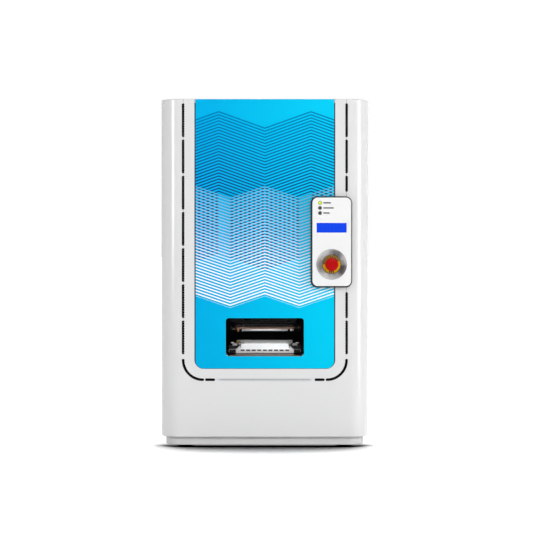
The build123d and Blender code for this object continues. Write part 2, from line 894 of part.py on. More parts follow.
for label, places in (("power_lamp", lamp_places[:1]), ("fault_lamps", lamp_places[1:])):
    with BuildPart() as lamp:
        with BuildSketch(frontal(pod_inner_face)):
            with Locations(*places):
                Circle(lamp_radius - pod_hole_gap)
        extrude(amount=pod_wall + lamp_proud)
        with BuildSketch(frontal(pod_inner_face)):
            with Locations(*places):
                Circle(lamp_flange_radius)
        extrude(amount=-lamp_flange_depth)
    finish(lamp, label)

# ------------------------------------------------------------------ emergency stop
# Profiles turned about its axis: local X is the radius and local Y the depth.
estop_plane = Plane(origin=(pod_x, front, estop_z), x_dir=(1, 0, 0), z_dir=(0, 0, 1))
dish_floor = dish_sink - pod_depth
dish_face = -pod_depth - dish_lip
dish_hole = barrel_radius + barrel_gap
with BuildPart() as estop_dish:
    rim_inner = dish_radius - 2 * dish_sheet
    back_start = (dish_hole_radius - pod_hole_gap, -pod_depth)
    back_end = (dish_floor_radius + dish_sheet / 2, dish_floor + dish_sheet)
    with BuildSketch(estop_plane):
        with BuildLine():
            Polyline(
                (dish_hole, dish_floor),
                (dish_floor_radius, dish_floor),
                (rim_inner, dish_face),
                (dish_radius, dish_face),
                (dish_radius, -pod_depth),
                back_start,
                back_end,
                (dish_hole, dish_floor + dish_sheet),
                close=True,
            )
        make_face()
    revolve(axis=estop_axis)
finish(estop_dish, "estop_dish")

with BuildPart() as estop_collar:
    with BuildSketch(frontal(dish_floor)):
        with Locations((pod_x, estop_z)):
            Circle(collar_radius)
            Circle(dish_hole, mode=Mode.SUBTRACT)
    extrude(amount=collar_height)
finish(estop_collar, "estop_collar")

with BuildPart() as estop_contact_block:
    rod((pod_x, at(collar_face), estop_z), (0, 1, 0), barrel_radius, barrel_end - collar_face)
    with BuildSketch(frontal(barrel_end)):
        with Locations((pod_x, estop_z)):
            Rectangle(contact_width, contact_height)
    extrude(amount=-contact_depth)
    rod(
        (pod_x, at(collar_face), estop_z),
        (0, 1, 0),
        stem_radius + stem_bore_gap,
        stem_length + button_travel - stem_socket,
        mode=Mode.SUBTRACT,
    )
finish(estop_contact_block, "estop_contact_block")

stem_front = button_back - stem_socket
with BuildPart() as estop_stem:
    rod((pod_x, at(stem_front), estop_z), (0, 1, 0), stem_radius, stem_length)
finish(estop_stem, "estop_stem")

stem_bore = stem_radius + stem_bore_gap
with BuildPart() as estop_button:
    with BuildSketch(estop_plane):
        with BuildLine():
            Polyline(
                (0, button_front),
                (button_radius - button_bevel, button_front + button_dome),
                (button_radius, button_front + button_dome + button_bevel),
                (button_radius, button_back),
                (stem_bore, button_back),
                (stem_bore, stem_front - stem_bore_gap),
                (0, stem_front - stem_bore_gap),
                close=True,
            )
        make_face()
    revolve(axis=estop_axis)
finish(estop_button, "estop_button")

# ------------------------------------------------------------------ working chamber
with BuildPart() as chamber_shell:
    with BuildSketch(Plane.XY.offset(deck_top)):
        chamber_length = chamber_rear + wall_sheet - chamber_front
        with Locations((0, at(chamber_front))):
            Rectangle(
                2 * (chamber_half_width + wall_sheet),
                chamber_length,
                align=(Align.CENTER, Align.MIN),
            )
            Rectangle(
                2 * chamber_half_width,
                chamber_length - wall_sheet,
                align=(Align.CENTER, Align.MIN),
                mode=Mode.SUBTRACT,
            )
    extrude(amount=upper_deck_bottom - deck_top)
    with BuildSketch(sideways(-chamber_half_width - wall_sheet)):
        with Locations((at(chamber_rear - 3 * cable_hole_radius), deck_top + 2 * chamber_front)):
            Circle(cable_hole_radius)
    extrude(amount=2 * (chamber_half_width + wall_sheet), mode=Mode.SUBTRACT)
finish(chamber_shell, "chamber_shell")

# ------------------------------------------------------------------ source stage
with BuildPart() as source_rail_beams:
    half = beam_width / 2
    for x in both(source_rail_x - half, source_rail_x + half):
        block(x, (beam_start, source_rail_end), (deck_top, beam_top))
    for x in both(source_rail_x - half, source_rail_x - half + beam_pocket):
        block(
            x,
            (beam_start + beam_flange, source_rail_end - beam_flange),
            (deck_top + beam_flange, beam_top - beam_flange),
            mode=Mode.SUBTRACT,
        )
finish(source_rail_beams, "source_rail_beams")

y_rail_span = (transducer_depth - y_rail_half_length, transducer_depth + y_rail_half_length)
with BuildPart() as lower_rails:
    with BuildSketch(frontal(stage_rail_start)):
        with Locations((-source_rail_x, beam_top), (source_rail_x, beam_top)):
            add(rail_section(rail_width, rail_height))
    extrude(amount=-(source_rail_end - stage_rail_start))
    with BuildSketch(frontal(y_rail_span[0])):
        with Locations((-y_rail_x, deck_top), (y_rail_x, deck_top)):
            Rectangle(small_rail_width, small_rail_height, align=(Align.CENTER, Align.MIN))
    extrude(amount=-(y_rail_span[1] - y_rail_span[0]))
finish(lower_rails, "lower_rails")

beam_outer = source_rail_x + beam_width / 2
with BuildPart() as magnet_tracks:
    block(
        (beam_outer, beam_outer + track_thickness),
        (stage_rail_start, source_rail_end),
        (track_bottom, track_bottom + 2 * track_half_width),
    )
    block(
        (-track_half_width, track_half_width),
        (destination_rail_start, destination_rail_end),
        (upper_deck_bottom - track_thickness, upper_deck_bottom),
    )
    block(
        (-track_half_width, track_half_width),
        y_rail_span,
        (deck_top, deck_top + small_track_thickness),
    )
finish(magnet_tracks, "magnet_tracks")

source_block_starts = (source_carriage_front, source_carriage_rear - block_length)
with BuildPart() as source_bearing_blocks:
    for start in source_block_starts:
        with BuildSketch(frontal(start)):
            with Locations((-source_rail_x, beam_top), (source_rail_x, beam_top)):
                with Locations((0, block_lift)):
                    Rectangle(block_width, block_height, align=(Align.CENTER, Align.MIN))
                add(rail_section(rail_width, rail_height, guide_gap), mode=Mode.SUBTRACT)
        extrude(amount=-block_length)
finish(source_bearing_blocks, "source_bearing_blocks")

source_bar_outer = source_bar_inner + source_bar_width
with BuildPart() as source_carriage:
    bars_rise = (block_top, nest_bottom)
    for x in both(source_bar_inner, source_bar_outer):
        block(x, (source_carriage_front, source_carriage_rear), bars_rise)
    block(
        (-source_bar_outer, source_bar_outer),
        (source_carriage_rear - source_crossbar, source_carriage_rear),
        bars_rise,
    )
    forcer_x = beam_outer + track_thickness + forcer_gap
    block(
        (forcer_x, forcer_x + forcer_thickness),
        (source_carriage_front + forcer_inset, source_carriage_rear - forcer_inset),
        (track_bottom, block_top),
    )
finish(source_carriage, "source_carriage")

wing = arm_inner + arm_width
guide_inner = plate_length / 2 + plate_gap
nest_top = nest_bottom + nest_thickness
with BuildPart() as source_nest:
    # the frame that the plate sits on, and its two arms
    block((-nest_half_width, nest_half_width), (nest_front, nest_rear), (nest_bottom, nest_top))
    arm_rise = (nest_bottom, nest_bottom + arm_thickness)
    block((-wing, wing), (wing_front, nest_rear), arm_rise)
    for x in both(arm_inner, wing):
        block(x, (nest_rear, source_carriage_rear), arm_rise)
    window_half = nest_window_depth / 2
    block(
        (-nest_window_width / 2, nest_window_width / 2),
        (source_plate_depth - window_half, source_plate_depth + window_half),
        (nest_bottom, nest_top),
        mode=Mode.SUBTRACT,
    )
    # slots along the front edge
    with BuildSketch(frontal(nest_front)):
        with Locations((0, nest_top)):
            with GridLocations(nest_slot_pitch, 1, nest_slot_count, 1):
                Rectangle(nest_slot_width, nest_slot_height, align=(Align.CENTER, Align.MAX))
    extrude(amount=-nest_slot_depth, mode=Mode.SUBTRACT)
    # sloped guides at the plate's corners
    guide_starts = (nest_front + 1, source_plate_depth + plate_depth / 2 - guide_length)
    for start in guide_starts:
        with BuildSketch(frontal(start)):
            for side in (-1, 1):
                with BuildLine():
                    Polyline(
                        (side * guide_inner, nest_top),
                        (side * nest_half_width, nest_top),
                        (side * (guide_inner + 1), nest_top + guide_height),
                        (side * guide_inner, nest_top + guide_height),
                        close=True,
                    )
                make_face()
        extrude(amount=-guide_length)
    # stop bar behind the plate
    stop_span = (nest_rear - 1 - stop_bar_thickness, nest_rear - 1)
    stop_bottom = nest_top + stop_bar_lift
    block(
        (-stop_bar_half_width, stop_bar_half_width),
        stop_span,
        (stop_bottom, stop_bottom + stop_bar_height),
    )
    for x in both(stop_post_x - stop_post_width / 2, stop_post_x + stop_post_width / 2):
        block(x, stop_span, (nest_top, stop_bottom))
finish(source_nest, "source_nest")

with BuildPart() as source_plate:
    plate_centre = (0, at(source_plate_depth))
    with BuildSketch(Plane.XY.offset(nest_top)):
        with Locations(plate_centre):
            RectangleRounded(plate_length, plate_depth, plate_corner)
    extrude(amount=plate_skirt)
    with BuildSketch(Plane.XY.offset(nest_top + plate_skirt)):
        with Locations(plate_centre):
            RectangleRounded(
                plate_length - 2 * plate_step, plate_depth - 2 * plate_step, plate_corner - plate_step
            )
    extrude(amount=plate_height - plate_skirt)
    with BuildSketch(Plane.XY.offset(nest_top + plate_height)):
        with Locations(plate_centre):
            RectangleRounded(
                plate_length - 2 * (plate_step + plate_rim),
                plate_depth - 2 * (plate_step + plate_rim),
                plate_corner - plate_step,
            )
    extrude(amount=-plate_rim_depth, mode=Mode.SUBTRACT)
finish(source_plate, "source_plate")

clamp_span = (source_plate_depth - clamp_depth / 2, source_plate_depth + clamp_depth / 2)
clamp_bottom = nest_top + seat_gap
clamp_inner = plate_length / 2 + seat_gap
for side, label in ((-1, "left_plate_clamp"), (1, "right_plate_clamp")):
    with BuildPart() as plate_clamp:
        half_index = 0 if side < 0 else 1
        clamp_outer = port_width / 2 - clamp_port_gap - clamp_travel
        block(
            both(clamp_inner, clamp_outer)[half_index],
            clamp_span,
            (clamp_bottom, clamp_bottom + clamp_height),
        )
        foot_outer = clamp_outer - clamp_foot_inset
        block(
            both(foot_outer - clamp_foot_width, foot_outer)[half_index],
            clamp_span,
            (nest_bottom + arm_thickness + seat_gap, clamp_bottom),
        )
        rod(
            (side * (foot_outer - knob_radius), at(source_plate_depth), clamp_bottom + clamp_height),
            (0, 0, 1),
            knob_radius,
            knob_height,
        )
    finish(plate_clamp, label)

# ------------------------------------------------------------------ destination stage
with BuildPart() as destination_rails:
    with BuildSketch(frontal(destination_rail_start)):
        with Locations(
            (-destination_rail_x, upper_deck_bottom), (destination_rail_x, upper_deck_bottom)
        ):
            add(rail_section(rail_width, rail_height), rotation=180)
    extrude(amount=-(destination_rail_end - destination_rail_start))
finish(destination_rails, "destination_rails")

with BuildPart() as destination_bearing_blocks:
    for start in (web_depth, hanger_rear - block_length):
        with BuildSketch(frontal(start)):
            with Locations(
                (-destination_rail_x, upper_deck_bottom), (destination_rail_x, upper_deck_bottom)
            ):
                with Locations((0, -block_lift)):
                    Rectangle(block_width, block_height, align=(Align.CENTER, Align.MAX))
                add(
                    rail_section(rail_width, rail_height, guide_gap),
                    rotation=180,
                    mode=Mode.SUBTRACT,
                )
        extrude(amount=-block_length)
finish(destination_bearing_blocks, "destination_bearing_blocks")

hanger_top = upper_deck_bottom - block_lift - block_height
hanger_bottom = hanger_top - hanger_thickness
fork_outer = fork_inner + fork_thickness
fork_rise = (pivot_z - fork_height / 2, pivot_z + fork_height / 2)
web_back = web_depth + web_thickness
with BuildPart() as destination_carriage:
    block((-fork_outer, fork_outer), (web_depth, hanger_rear), (hanger_bottom, hanger_top))
    block((-fork_outer, fork_outer), (web_depth, web_back), (fork_rise[0], hanger_bottom))
    # motor bracket on the right, a plain gusset on the left
    for x in both(fork_inner, fork_outer):
        block(x, (web_back, web_back + bracket_depth), (fork_rise[0], hanger_bottom))
    rod(
        (fork_inner, at(motor_depth), motor_z),
        (1, 0, 0),
        motor_shaft_radius + motor_shaft_gap,
        fork_thickness,
        mode=Mode.SUBTRACT,
    )
    # coil that runs along the magnet track
    block(
        (-track_half_width, track_half_width),
        (web_depth + forcer_inset, hanger_rear - forcer_inset),
        (hanger_top, upper_deck_bottom - track_thickness - forcer_gap),
    )
    # openings through the web
    with BuildSketch(frontal(web_depth)):
        with Locations((0, (fork_rise[1] + hanger_bottom) / 2)):
            with GridLocations(2 * destination_rail_x / 3 + 8, 1, 3, 1):
                RectangleRounded(28, hanger_bottom - fork_rise[1] - 8, 5)
    extrude(amount=-web_thickness, mode=Mode.SUBTRACT)
finish(destination_carriage, "destination_carriage")

with BuildPart() as destination_fork:
    for x in both(fork_inner, fork_outer):
        with BuildSketch(sideways(x[0])):
            with Locations((at(pivot_depth), pivot_z)):
                Circle(fork_height / 2)
                Rectangle(
                    web_depth - pivot_depth, fork_height, align=(Align.MIN, Align.CENTER)
                )
                Circle(trunnion_radius + trunnion_gap, mode=Mode.SUBTRACT)
        extrude(amount=fork_thickness)
    block((-fork_inner, fork_inner), (web_depth - fork_crossbar, web_depth), fork_rise)
finish(destination_fork, "destination_fork")

with BuildPart() as invert_motor:
    with BuildSketch(sideways(fork_inner)):
        with Locations((at(motor_depth), motor_z)):
            RectangleRounded(motor_size, motor_size, motor_corner)
    extrude(amount=-motor_length)
    rod(
        (fork_inner, at(motor_depth), motor_z),
        (-1, 0, 0),
        motor_shaft_radius + motor_shaft_gap,
        motor_socket,
        mode=Mode.SUBTRACT,
    )
finish(invert_motor, "invert_motor")

pulley_start = fork_outer + pulley_gap


def pulley(depth, z):
    """A belt wheel between two thin flanges, on an axis along X."""
    rod((pulley_start, at(depth), z), (1, 0, 0), pulley_radius, pulley_width)
    for start in (pulley_start, pulley_start + pulley_width - pulley_flange):
        flange_radius = pulley_radius + pulley_flange_rise
        rod((start, at(depth), z), (1, 0, 0), flange_radius, pulley_flange)


with BuildPart() as motor_pulley:
    shaft_start = fork_inner - motor_socket + 1
    rod(
        (shaft_start, at(motor_depth), motor_z),
        (1, 0, 0),
        motor_shaft_radius,
        pulley_start - shaft_start,
    )
    pulley(motor_depth, motor_z)
finish(motor_pulley, "motor_pulley")

belt_run = (motor_depth - pivot_depth, motor_z - pivot_z)
belt_centres = Vector(*belt_run).length
belt_slope = math.degrees(math.atan2(belt_run[1], belt_run[0]))
with BuildPart() as invert_belt:
    belt_x = pulley_start + (pulley_width - belt_width) / 2
    with BuildSketch(sideways(belt_x)):
        with Locations((at(pivot_depth + belt_run[0] / 2), pivot_z + belt_run[1] / 2)):
            belt_inner = 2 * (pulley_radius + belt_gap)
            SlotCenterToCenter(
                belt_centres, belt_inner + 2 * belt_thickness, rotation=belt_slope
            )
            SlotCenterToCenter(
                belt_centres, belt_inner, rotation=belt_slope, mode=Mode.SUBTRACT
            )
    extrude(amount=belt_width)
finish(invert_belt, "invert_belt")

ring_bottom = pivot_z - ring_drop
bar_outer = plate_depth / 2 + plate_gap + clamp_bar_depth
with BuildPart() as gripper_frame:
    ring_span = (pivot_depth - ring_half_depth, pivot_depth + ring_half_depth)
    ring_rise = (ring_bottom, ring_bottom + ring_thickness)
    block((-ring_half_width, ring_half_width), ring_span, ring_rise)
    # bosses that carry the trunnions
    boss_span = (pivot_depth - boss_base_depth / 2, pivot_depth + boss_base_depth / 2)
    for x in both(ring_half_width - boss_base_width, ring_half_width):
        block(x, boss_span, (pivot_z - boss_radius, pivot_z + boss_radius))
    half_window = ring_window_depth / 2
    block(
        (-ring_window_width / 2, ring_window_width / 2),
        (pivot_depth - half_window, pivot_depth + half_window),
        ring_rise,
        mode=Mode.SUBTRACT,
    )
    # fixed gripping bar along the front edge
    block(
        (-clamp_bar_half_width, clamp_bar_half_width),
        (pivot_depth - bar_outer, pivot_depth - bar_outer + clamp_bar_depth),
        (ring_bottom - clamp_bar_height, ring_bottom),
    )
    for side in (-1, 1):
        boss_end = fork_inner - seat_gap
        rod(
            (side * ring_half_width, at(pivot_depth), pivot_z),
            (side, 0, 0),
            boss_radius,
            boss_end - ring_half_width,
        )
        rod(
            (side * boss_end, at(pivot_depth), pivot_z),
            (side, 0, 0),
            trunnion_radius,
            pulley_start - boss_end,
        )
    rod(
        (-pulley_start, at(pivot_depth), pivot_z),
        (-1, 0, 0),
        retainer_radius,
        retainer_thickness,
    )
    pulley(pivot_depth, pivot_z)
finish(gripper_frame, "gripper_frame")

with BuildPart() as gripper_jaw:
    block(
        (-clamp_bar_half_width, clamp_bar_half_width),
        (pivot_depth + bar_outer - clamp_bar_depth, pivot_depth + bar_outer),
        (ring_bottom - clamp_bar_height, ring_bottom - seat_gap),
    )
finish(gripper_jaw, "gripper_jaw")

# ------------------------------------------------------------------ transducer stage
small_block_bottom = deck_top + small_block_lift
y_plate_bottom = small_block_bottom + small_block_height
y_plate_top = y_plate_bottom + stage_plate_thickness
plate_span = (
    transducer_depth - stage_plate_half_depth,
    transducer_depth + stage_plate_half_depth,
)
with BuildPart() as y_carriage:
    block((-y_plate_half_width, y_plate_half_width), plate_span, (y_plate_bottom, y_plate_top))
    for x in both(y_rail_x - small_block_width / 2, y_rail_x + small_block_width / 2):
        block(x, plate_span, (small_block_bottom, y_plate_bottom))
    channel = small_rail_width / 2 + guide_gap
    for x in both(y_rail_x - channel, y_rail_x + channel):
        block(
            x,
            plate_span,
            (small_block_bottom, deck_top + small_rail_height + guide_gap),
            mode=Mode.SUBTRACT,
        )
    # coil over the magnet track
    block(
        (-track_half_width, track_half_width),
        (plate_span[0] + forcer_inset, plate_span[1] - forcer_inset),
        (deck_top + small_track_thickness + forcer_gap, y_plate_bottom),
    )
    # cross rails
    for middle in (transducer_depth - x_rail_spread, transducer_depth + x_rail_spread):
        block(
            (-y_plate_half_width, y_plate_half_width),
            (middle - small_rail_width / 2, middle + small_rail_width / 2),
            (y_plate_top, y_plate_top + small_rail_height),
        )
finish(y_carriage, "y_carriage")

x_block_bottom = y_plate_top + small_block_lift
x_plate_bottom = x_block_bottom + small_block_height
x_plate_top = x_plate_bottom + stage_plate_thickness
x_span = (-x_plate_half_width, x_plate_half_width)
column_front = transducer_depth + transducer_radius + slide_thickness + slide_gap
with BuildPart() as x_carriage:
    block(x_span, plate_span, (x_plate_bottom, x_plate_top))
    for middle in (transducer_depth - x_rail_spread, transducer_depth + x_rail_spread):
        half = small_block_width / 2
        block(x_span, (middle - half, middle + half), (x_block_bottom, x_plate_bottom))
        half = small_rail_width / 2 + guide_gap
        block(
            x_span,
            (middle - half, middle + half),
            (x_block_bottom, y_plate_top + small_rail_height + guide_gap),
            mode=Mode.SUBTRACT,
        )
    # lift column and its rail
    slide_rise = (transducer_bottom + slide_inset, transducer_bottom + slide_inset + slide_height)
    column_rise = (x_plate_bottom, slide_rise[1] + lift_travel)
    block(
        (-column_half_width, column_half_width),
        (column_front, column_front + column_thickness),
        column_rise,
    )
    block(
        (-small_rail_width / 2, small_rail_width / 2),
        (column_front - lift_rail_depth, column_front),
        (x_plate_top, column_rise[1]),
    )
finish(x_carriage, "x_carriage")

with BuildPart() as transducer:
    with BuildSketch(Plane.XY.offset(transducer_bottom)):
        with Locations((0, at(transducer_depth))):
            Circle(transducer_radius)
    extrude(amount=transducer_top - transducer_nozzle_height - transducer_bottom)
    with BuildSketch(Plane.XY.offset(transducer_top - transducer_nozzle_height)):
        with Locations((0, at(transducer_depth))):
            Circle(transducer_nozzle_radius)
    extrude(amount=transducer_nozzle_height)
    # slide that runs on the column's rail
    slide_front = transducer_depth + transducer_radius - 3
    slide_back = column_front - slide_gap
    block((-slide_half_width, slide_half_width), (slide_front, slide_back), slide_rise)
    channel = small_rail_width / 2 + guide_gap
    block(
        (-channel, channel),
        (column_front - lift_rail_depth - guide_gap, slide_back),
        slide_rise,
        mode=Mode.SUBTRACT,
    )
finish(transducer, "transducer")

# ------------------------------------------------------------------ services
with BuildPart() as fluid_reservoir:
    width, length, height = reservoir_size
    with BuildSketch(Plane.XY.offset(deck_top)):
        with Locations((reservoir_x, at(reservoir_front + length / 2))):
            RectangleRounded(width, length, 10)
    extrude(amount=height)
    chamfer(fluid_reservoir.faces().sort_by(Axis.Z)[-1].edges(), 6)
    rod(
        (reservoir_x, at(reservoir_front + length / 4), deck_top + height),
        (0, 0, 1),
        width / 3,
        width / 3,
    )
finish(fluid_reservoir, "fluid_reservoir")

with BuildPart() as fluid_pump:
    foot_height = pump_radius / 2
    block(
        (pump_x - pump_radius, pump_x + pump_radius),
        (pump_front, pump_front + pump_length),
        (deck_top, deck_top + foot_height),
    )
    pump_z = deck_top + foot_height + pump_radius - 2
    rod((pump_x, at(pump_front), pump_z), (0, 1, 0), pump_radius, pump_length)
    rod(
        (pump_x, at(pump_front - pump_radius), pump_z),
        (0, 1, 0),
        pump_radius * 0.75,
        pump_radius,
    )
    rod(
        (pump_x, at(pump_front - pump_radius / 2), pump_z),
        (0, 0, 1),
        pump_radius / 4,
        pump_radius * 1.2,
    )
finish(fluid_pump, "fluid_pump")

with BuildPart() as power_supply:
    width, length, height = supply_size
    supply_span = (supply_x - width / 2, supply_x + width / 2)
    block(supply_span, (supply_front, supply_front + length), (upper_deck_top,
                                                               upper_deck_top + height))
    with BuildSketch(Plane.XY.offset(upper_deck_top + height)):
        with Locations((supply_x, at(supply_front + length / 2))):
            with GridLocations(1, length / 9, 1, 7):
                add(slot_outline(width * 0.7, 6))
    extrude(amount=-3, mode=Mode.SUBTRACT)
finish(power_supply, "power_supply")

with BuildPart() as motion_controller:
    width, length, height = controller_size
    wall = tube_wall
    cage_x = (controller_x - width / 2, controller_x + width / 2)
    cage_span = (controller_front, controller_front + length)
    cage_rise = (upper_deck_top, upper_deck_top + height)
    block(cage_x, cage_span, (upper_deck_top, upper_deck_top + wall))
    block(cage_x, (cage_span[1] - wall, cage_span[1]), cage_rise)
    block((cage_x[0], cage_x[0] + wall), cage_span, cage_rise)
    block((cage_x[1] - wall, cage_x[1]), cage_span, cage_rise)
    board_pitch = width / (controller_board_count + 1)
    for n in range(controller_board_count):
        board_x = cage_x[0] + (n + 1) * board_pitch
        block(
            (board_x - 1, board_x + 1),
            (cage_span[0] + 10, cage_span[1]),
            (upper_deck_top, upper_deck_top + height - 10),
        )
finish(motion_controller, "motion_controller")

with BuildPart() as rf_amplifier:
    width, length, height = amplifier_size
    amp_x = (amplifier_x - width / 2, amplifier_x + width / 2)
    amp_span = (amplifier_front, amplifier_front + length)
    fin_base = upper_deck_top + height / 2
    block(amp_x, amp_span, (upper_deck_top, fin_base))
    fin_pitch = (width - 3) / (amplifier_fin_count - 1)
    for n in range(amplifier_fin_count):
        fin_x = amp_x[0] + n * fin_pitch
        block((fin_x, fin_x + 3), amp_span, (fin_base, upper_deck_top + height))
finish(rf_amplifier, "rf_amplifier")

# ------------------------------------------------------------------ exhaust fan
fan_back = cabinet_depth - sheet
fan_front = fan_back - fan_depth
fan_centre = (fan_x, fan_z)
with BuildPart() as exhaust_fan_housing:
    with BuildSketch(frontal(fan_front)):
        with Locations(fan_centre):
            RectangleRounded(fan_size, fan_size, 6)
            Circle(fan_bore_radius, mode=Mode.SUBTRACT)
    extrude(amount=-fan_depth)
    # motor plate on its struts, and the shaft
    with BuildSketch(frontal(fan_front)):
        with Locations(fan_centre):
            Circle(fan_hub_radius)
            Rectangle(2 * fan_bore_radius + 1, fan_strut_width)
            Rectangle(fan_strut_width, 2 * fan_bore_radius + 1)
    extrude(amount=-fan_plate)
    rod((fan_x, at(fan_front + fan_plate), fan_z), (0, 1, 0), fan_shaft_radius, fan_shaft_length)
finish(exhaust_fan_housing, "exhaust_fan_housing")

rotor_front = fan_front + fan_plate + 2 * seat_gap
rotor_depth = fan_back - 2 - rotor_front
blade_tip = fan_bore_radius - fan_tip_gap
with BuildPart() as exhaust_fan_rotor:
    rod((fan_x, at(rotor_front), fan_z), (0, 1, 0), fan_hub_radius, rotor_depth)
    fan_axis = Plane(origin=(fan_x, at(rotor_front + rotor_depth / 2), fan_z), z_dir=(0, 1, 0))
    for n in range(fan_blade_count):
        spoke = Vector(1, 0, 0).rotate(Axis.Y, n * 360 / fan_blade_count)
        root = Plane(
            origin=fan_axis.origin + spoke * (fan_hub_radius - fan_blade_root),
            x_dir=(0, 1, 0),
            z_dir=spoke,
        )
        with BuildSketch(root):
            Rectangle(fan_blade_chord, fan_blade_thickness, rotation=fan_blade_pitch)
        extrude(amount=blade_tip - fan_hub_radius + fan_blade_root)
    rod(
        (fan_x, at(rotor_front), fan_z),
        (0, 1, 0),
        fan_shaft_radius + fan_shaft_gap,
        fan_shaft_length,
        mode=Mode.SUBTRACT,
    )
finish(exhaust_fan_rotor, "exhaust_fan_rotor")

with BuildPart() as fan_guard:
    # spokes and feet against the panel, then the rings welded on them
    with BuildSketch(frontal(cabinet_depth)):
        with Locations(fan_centre):
            with Locations(Rotation(0, 0, 45)):
                Rectangle(fan_hole_spacing * math.sqrt(2), guard_wire)
                Rectangle(guard_wire, fan_hole_spacing * math.sqrt(2))
            with GridLocations(fan_hole_spacing, fan_hole_spacing, 2, 2):
                Circle(guard_pad_radius)
    extrude(amount=-guard_wire)
    with BuildSketch(frontal(cabinet_depth + guard_wire - guard_weld)):
        with Locations(fan_centre):
            for radius in guard_ring_radii:
                RegularPolygon(radius + guard_wire / 2, guard_ring_sides)
                RegularPolygon(radius - guard_wire / 2, guard_ring_sides, mode=Mode.SUBTRACT)
    extrude(amount=-guard_wire)
finish(fan_guard, "fan_guard")

# ------------------------------------------------------------------ rear connectors
rocker_z = inlet_z + rocker_rise
rocker_depth = cabinet_depth - 1.5
socket_z = inlet_z - inlet_socket_drop
inlet_front = cabinet_depth - inlet_depth
flange_back = cabinet_depth + inlet_flange_thickness
with BuildPart() as rear_connectors:
    # mains inlet: body, flange, socket with its three blades, and the rocker's well
    with BuildSketch(frontal(inlet_front)):
        with Locations((inlet_x, inlet_z)):
            Rectangle(inlet_width - 2 * pod_hole_gap, inlet_height - 2 * pod_hole_gap)
    extrude(amount=-inlet_depth)
    with BuildSketch(frontal(cabinet_depth)):
        with Locations((inlet_x, inlet_z)):
            RectangleRounded(
                inlet_width + 2 * inlet_flange, inlet_height + 2 * inlet_flange, inlet_flange
            )
    extrude(amount=-inlet_flange_thickness)
    with BuildSketch(frontal(flange_back)):
        with Locations((inlet_x, socket_z)):
            Rectangle(inlet_socket_width, inlet_socket_height)
            with GridLocations(inlet_pin_pitch, 1, 3, 1):
                Rectangle(inlet_pin_width, inlet_pin_height, mode=Mode.SUBTRACT)
    extrude(amount=inlet_socket_depth, mode=Mode.SUBTRACT)
    well_half = Vector(rocker_half_height, rocker_proud).length + rocker_gap
    with BuildSketch(frontal(flange_back)):
        with Locations((inlet_x, rocker_z)):
            Rectangle(rocker_width + 2 * rocker_gap, 2 * well_half)
    extrude(amount=inlet_flange_thickness + 1.5 + rocker_back + 2, mode=Mode.SUBTRACT)
    for side in (-1, 1):
        rod(
            (inlet_x + side * rocker_width / 2, at(rocker_depth), rocker_z),
            (side, 0, 0),
            rocker_pin_radius + rocker_pin_gap,
            rocker_pin_length + rocker_gap,
            mode=Mode.SUBTRACT,
        )
    # data sockets
    with BuildSketch(frontal(inlet_front)):
        with Locations((data_x, inlet_z)):
            Rectangle(data_width - 2 * pod_hole_gap, data_height - 2 * pod_hole_gap)
    extrude(amount=-inlet_depth)
    with BuildSketch(frontal(cabinet_depth)):
        with Locations((data_x, inlet_z)):
            with GridLocations(data_socket_pitch, 1, 2, 1):
                Rectangle(data_socket_width, data_socket_height)
    extrude(amount=data_socket_depth, mode=Mode.SUBTRACT)
finish(rear_connectors, "rear_connectors")

with BuildPart() as power_rocker:
    rocker_plane = Plane(
        origin=(inlet_x - rocker_width / 2, at(rocker_depth), rocker_z),
        x_dir=Vector(0, 1, 0).rotate(Axis.X, rocker_tilt),
        z_dir=(1, 0, 0),
    )
    with BuildSketch(rocker_plane):
        with BuildLine():
            Polyline(
                (rocker_proud, -rocker_half_height),
                (rocker_dip, 0),
                (rocker_proud, rocker_half_height),
                (0, rocker_half_height),
                (-rocker_back, rocker_half_height / 2),
                (-rocker_back, -rocker_half_height / 2),
                (0, -rocker_half_height),
                close=True,
            )
        make_face()
    extrude(amount=rocker_width)
    pin_half = rocker_width / 2 + rocker_pin_length
    rod(
        (inlet_x - pin_half, at(rocker_depth), rocker_z),
        (1, 0, 0),
        rocker_pin_radius,
        2 * pin_half,
    )
finish(power_rocker, "power_rocker")
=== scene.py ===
import json
import math

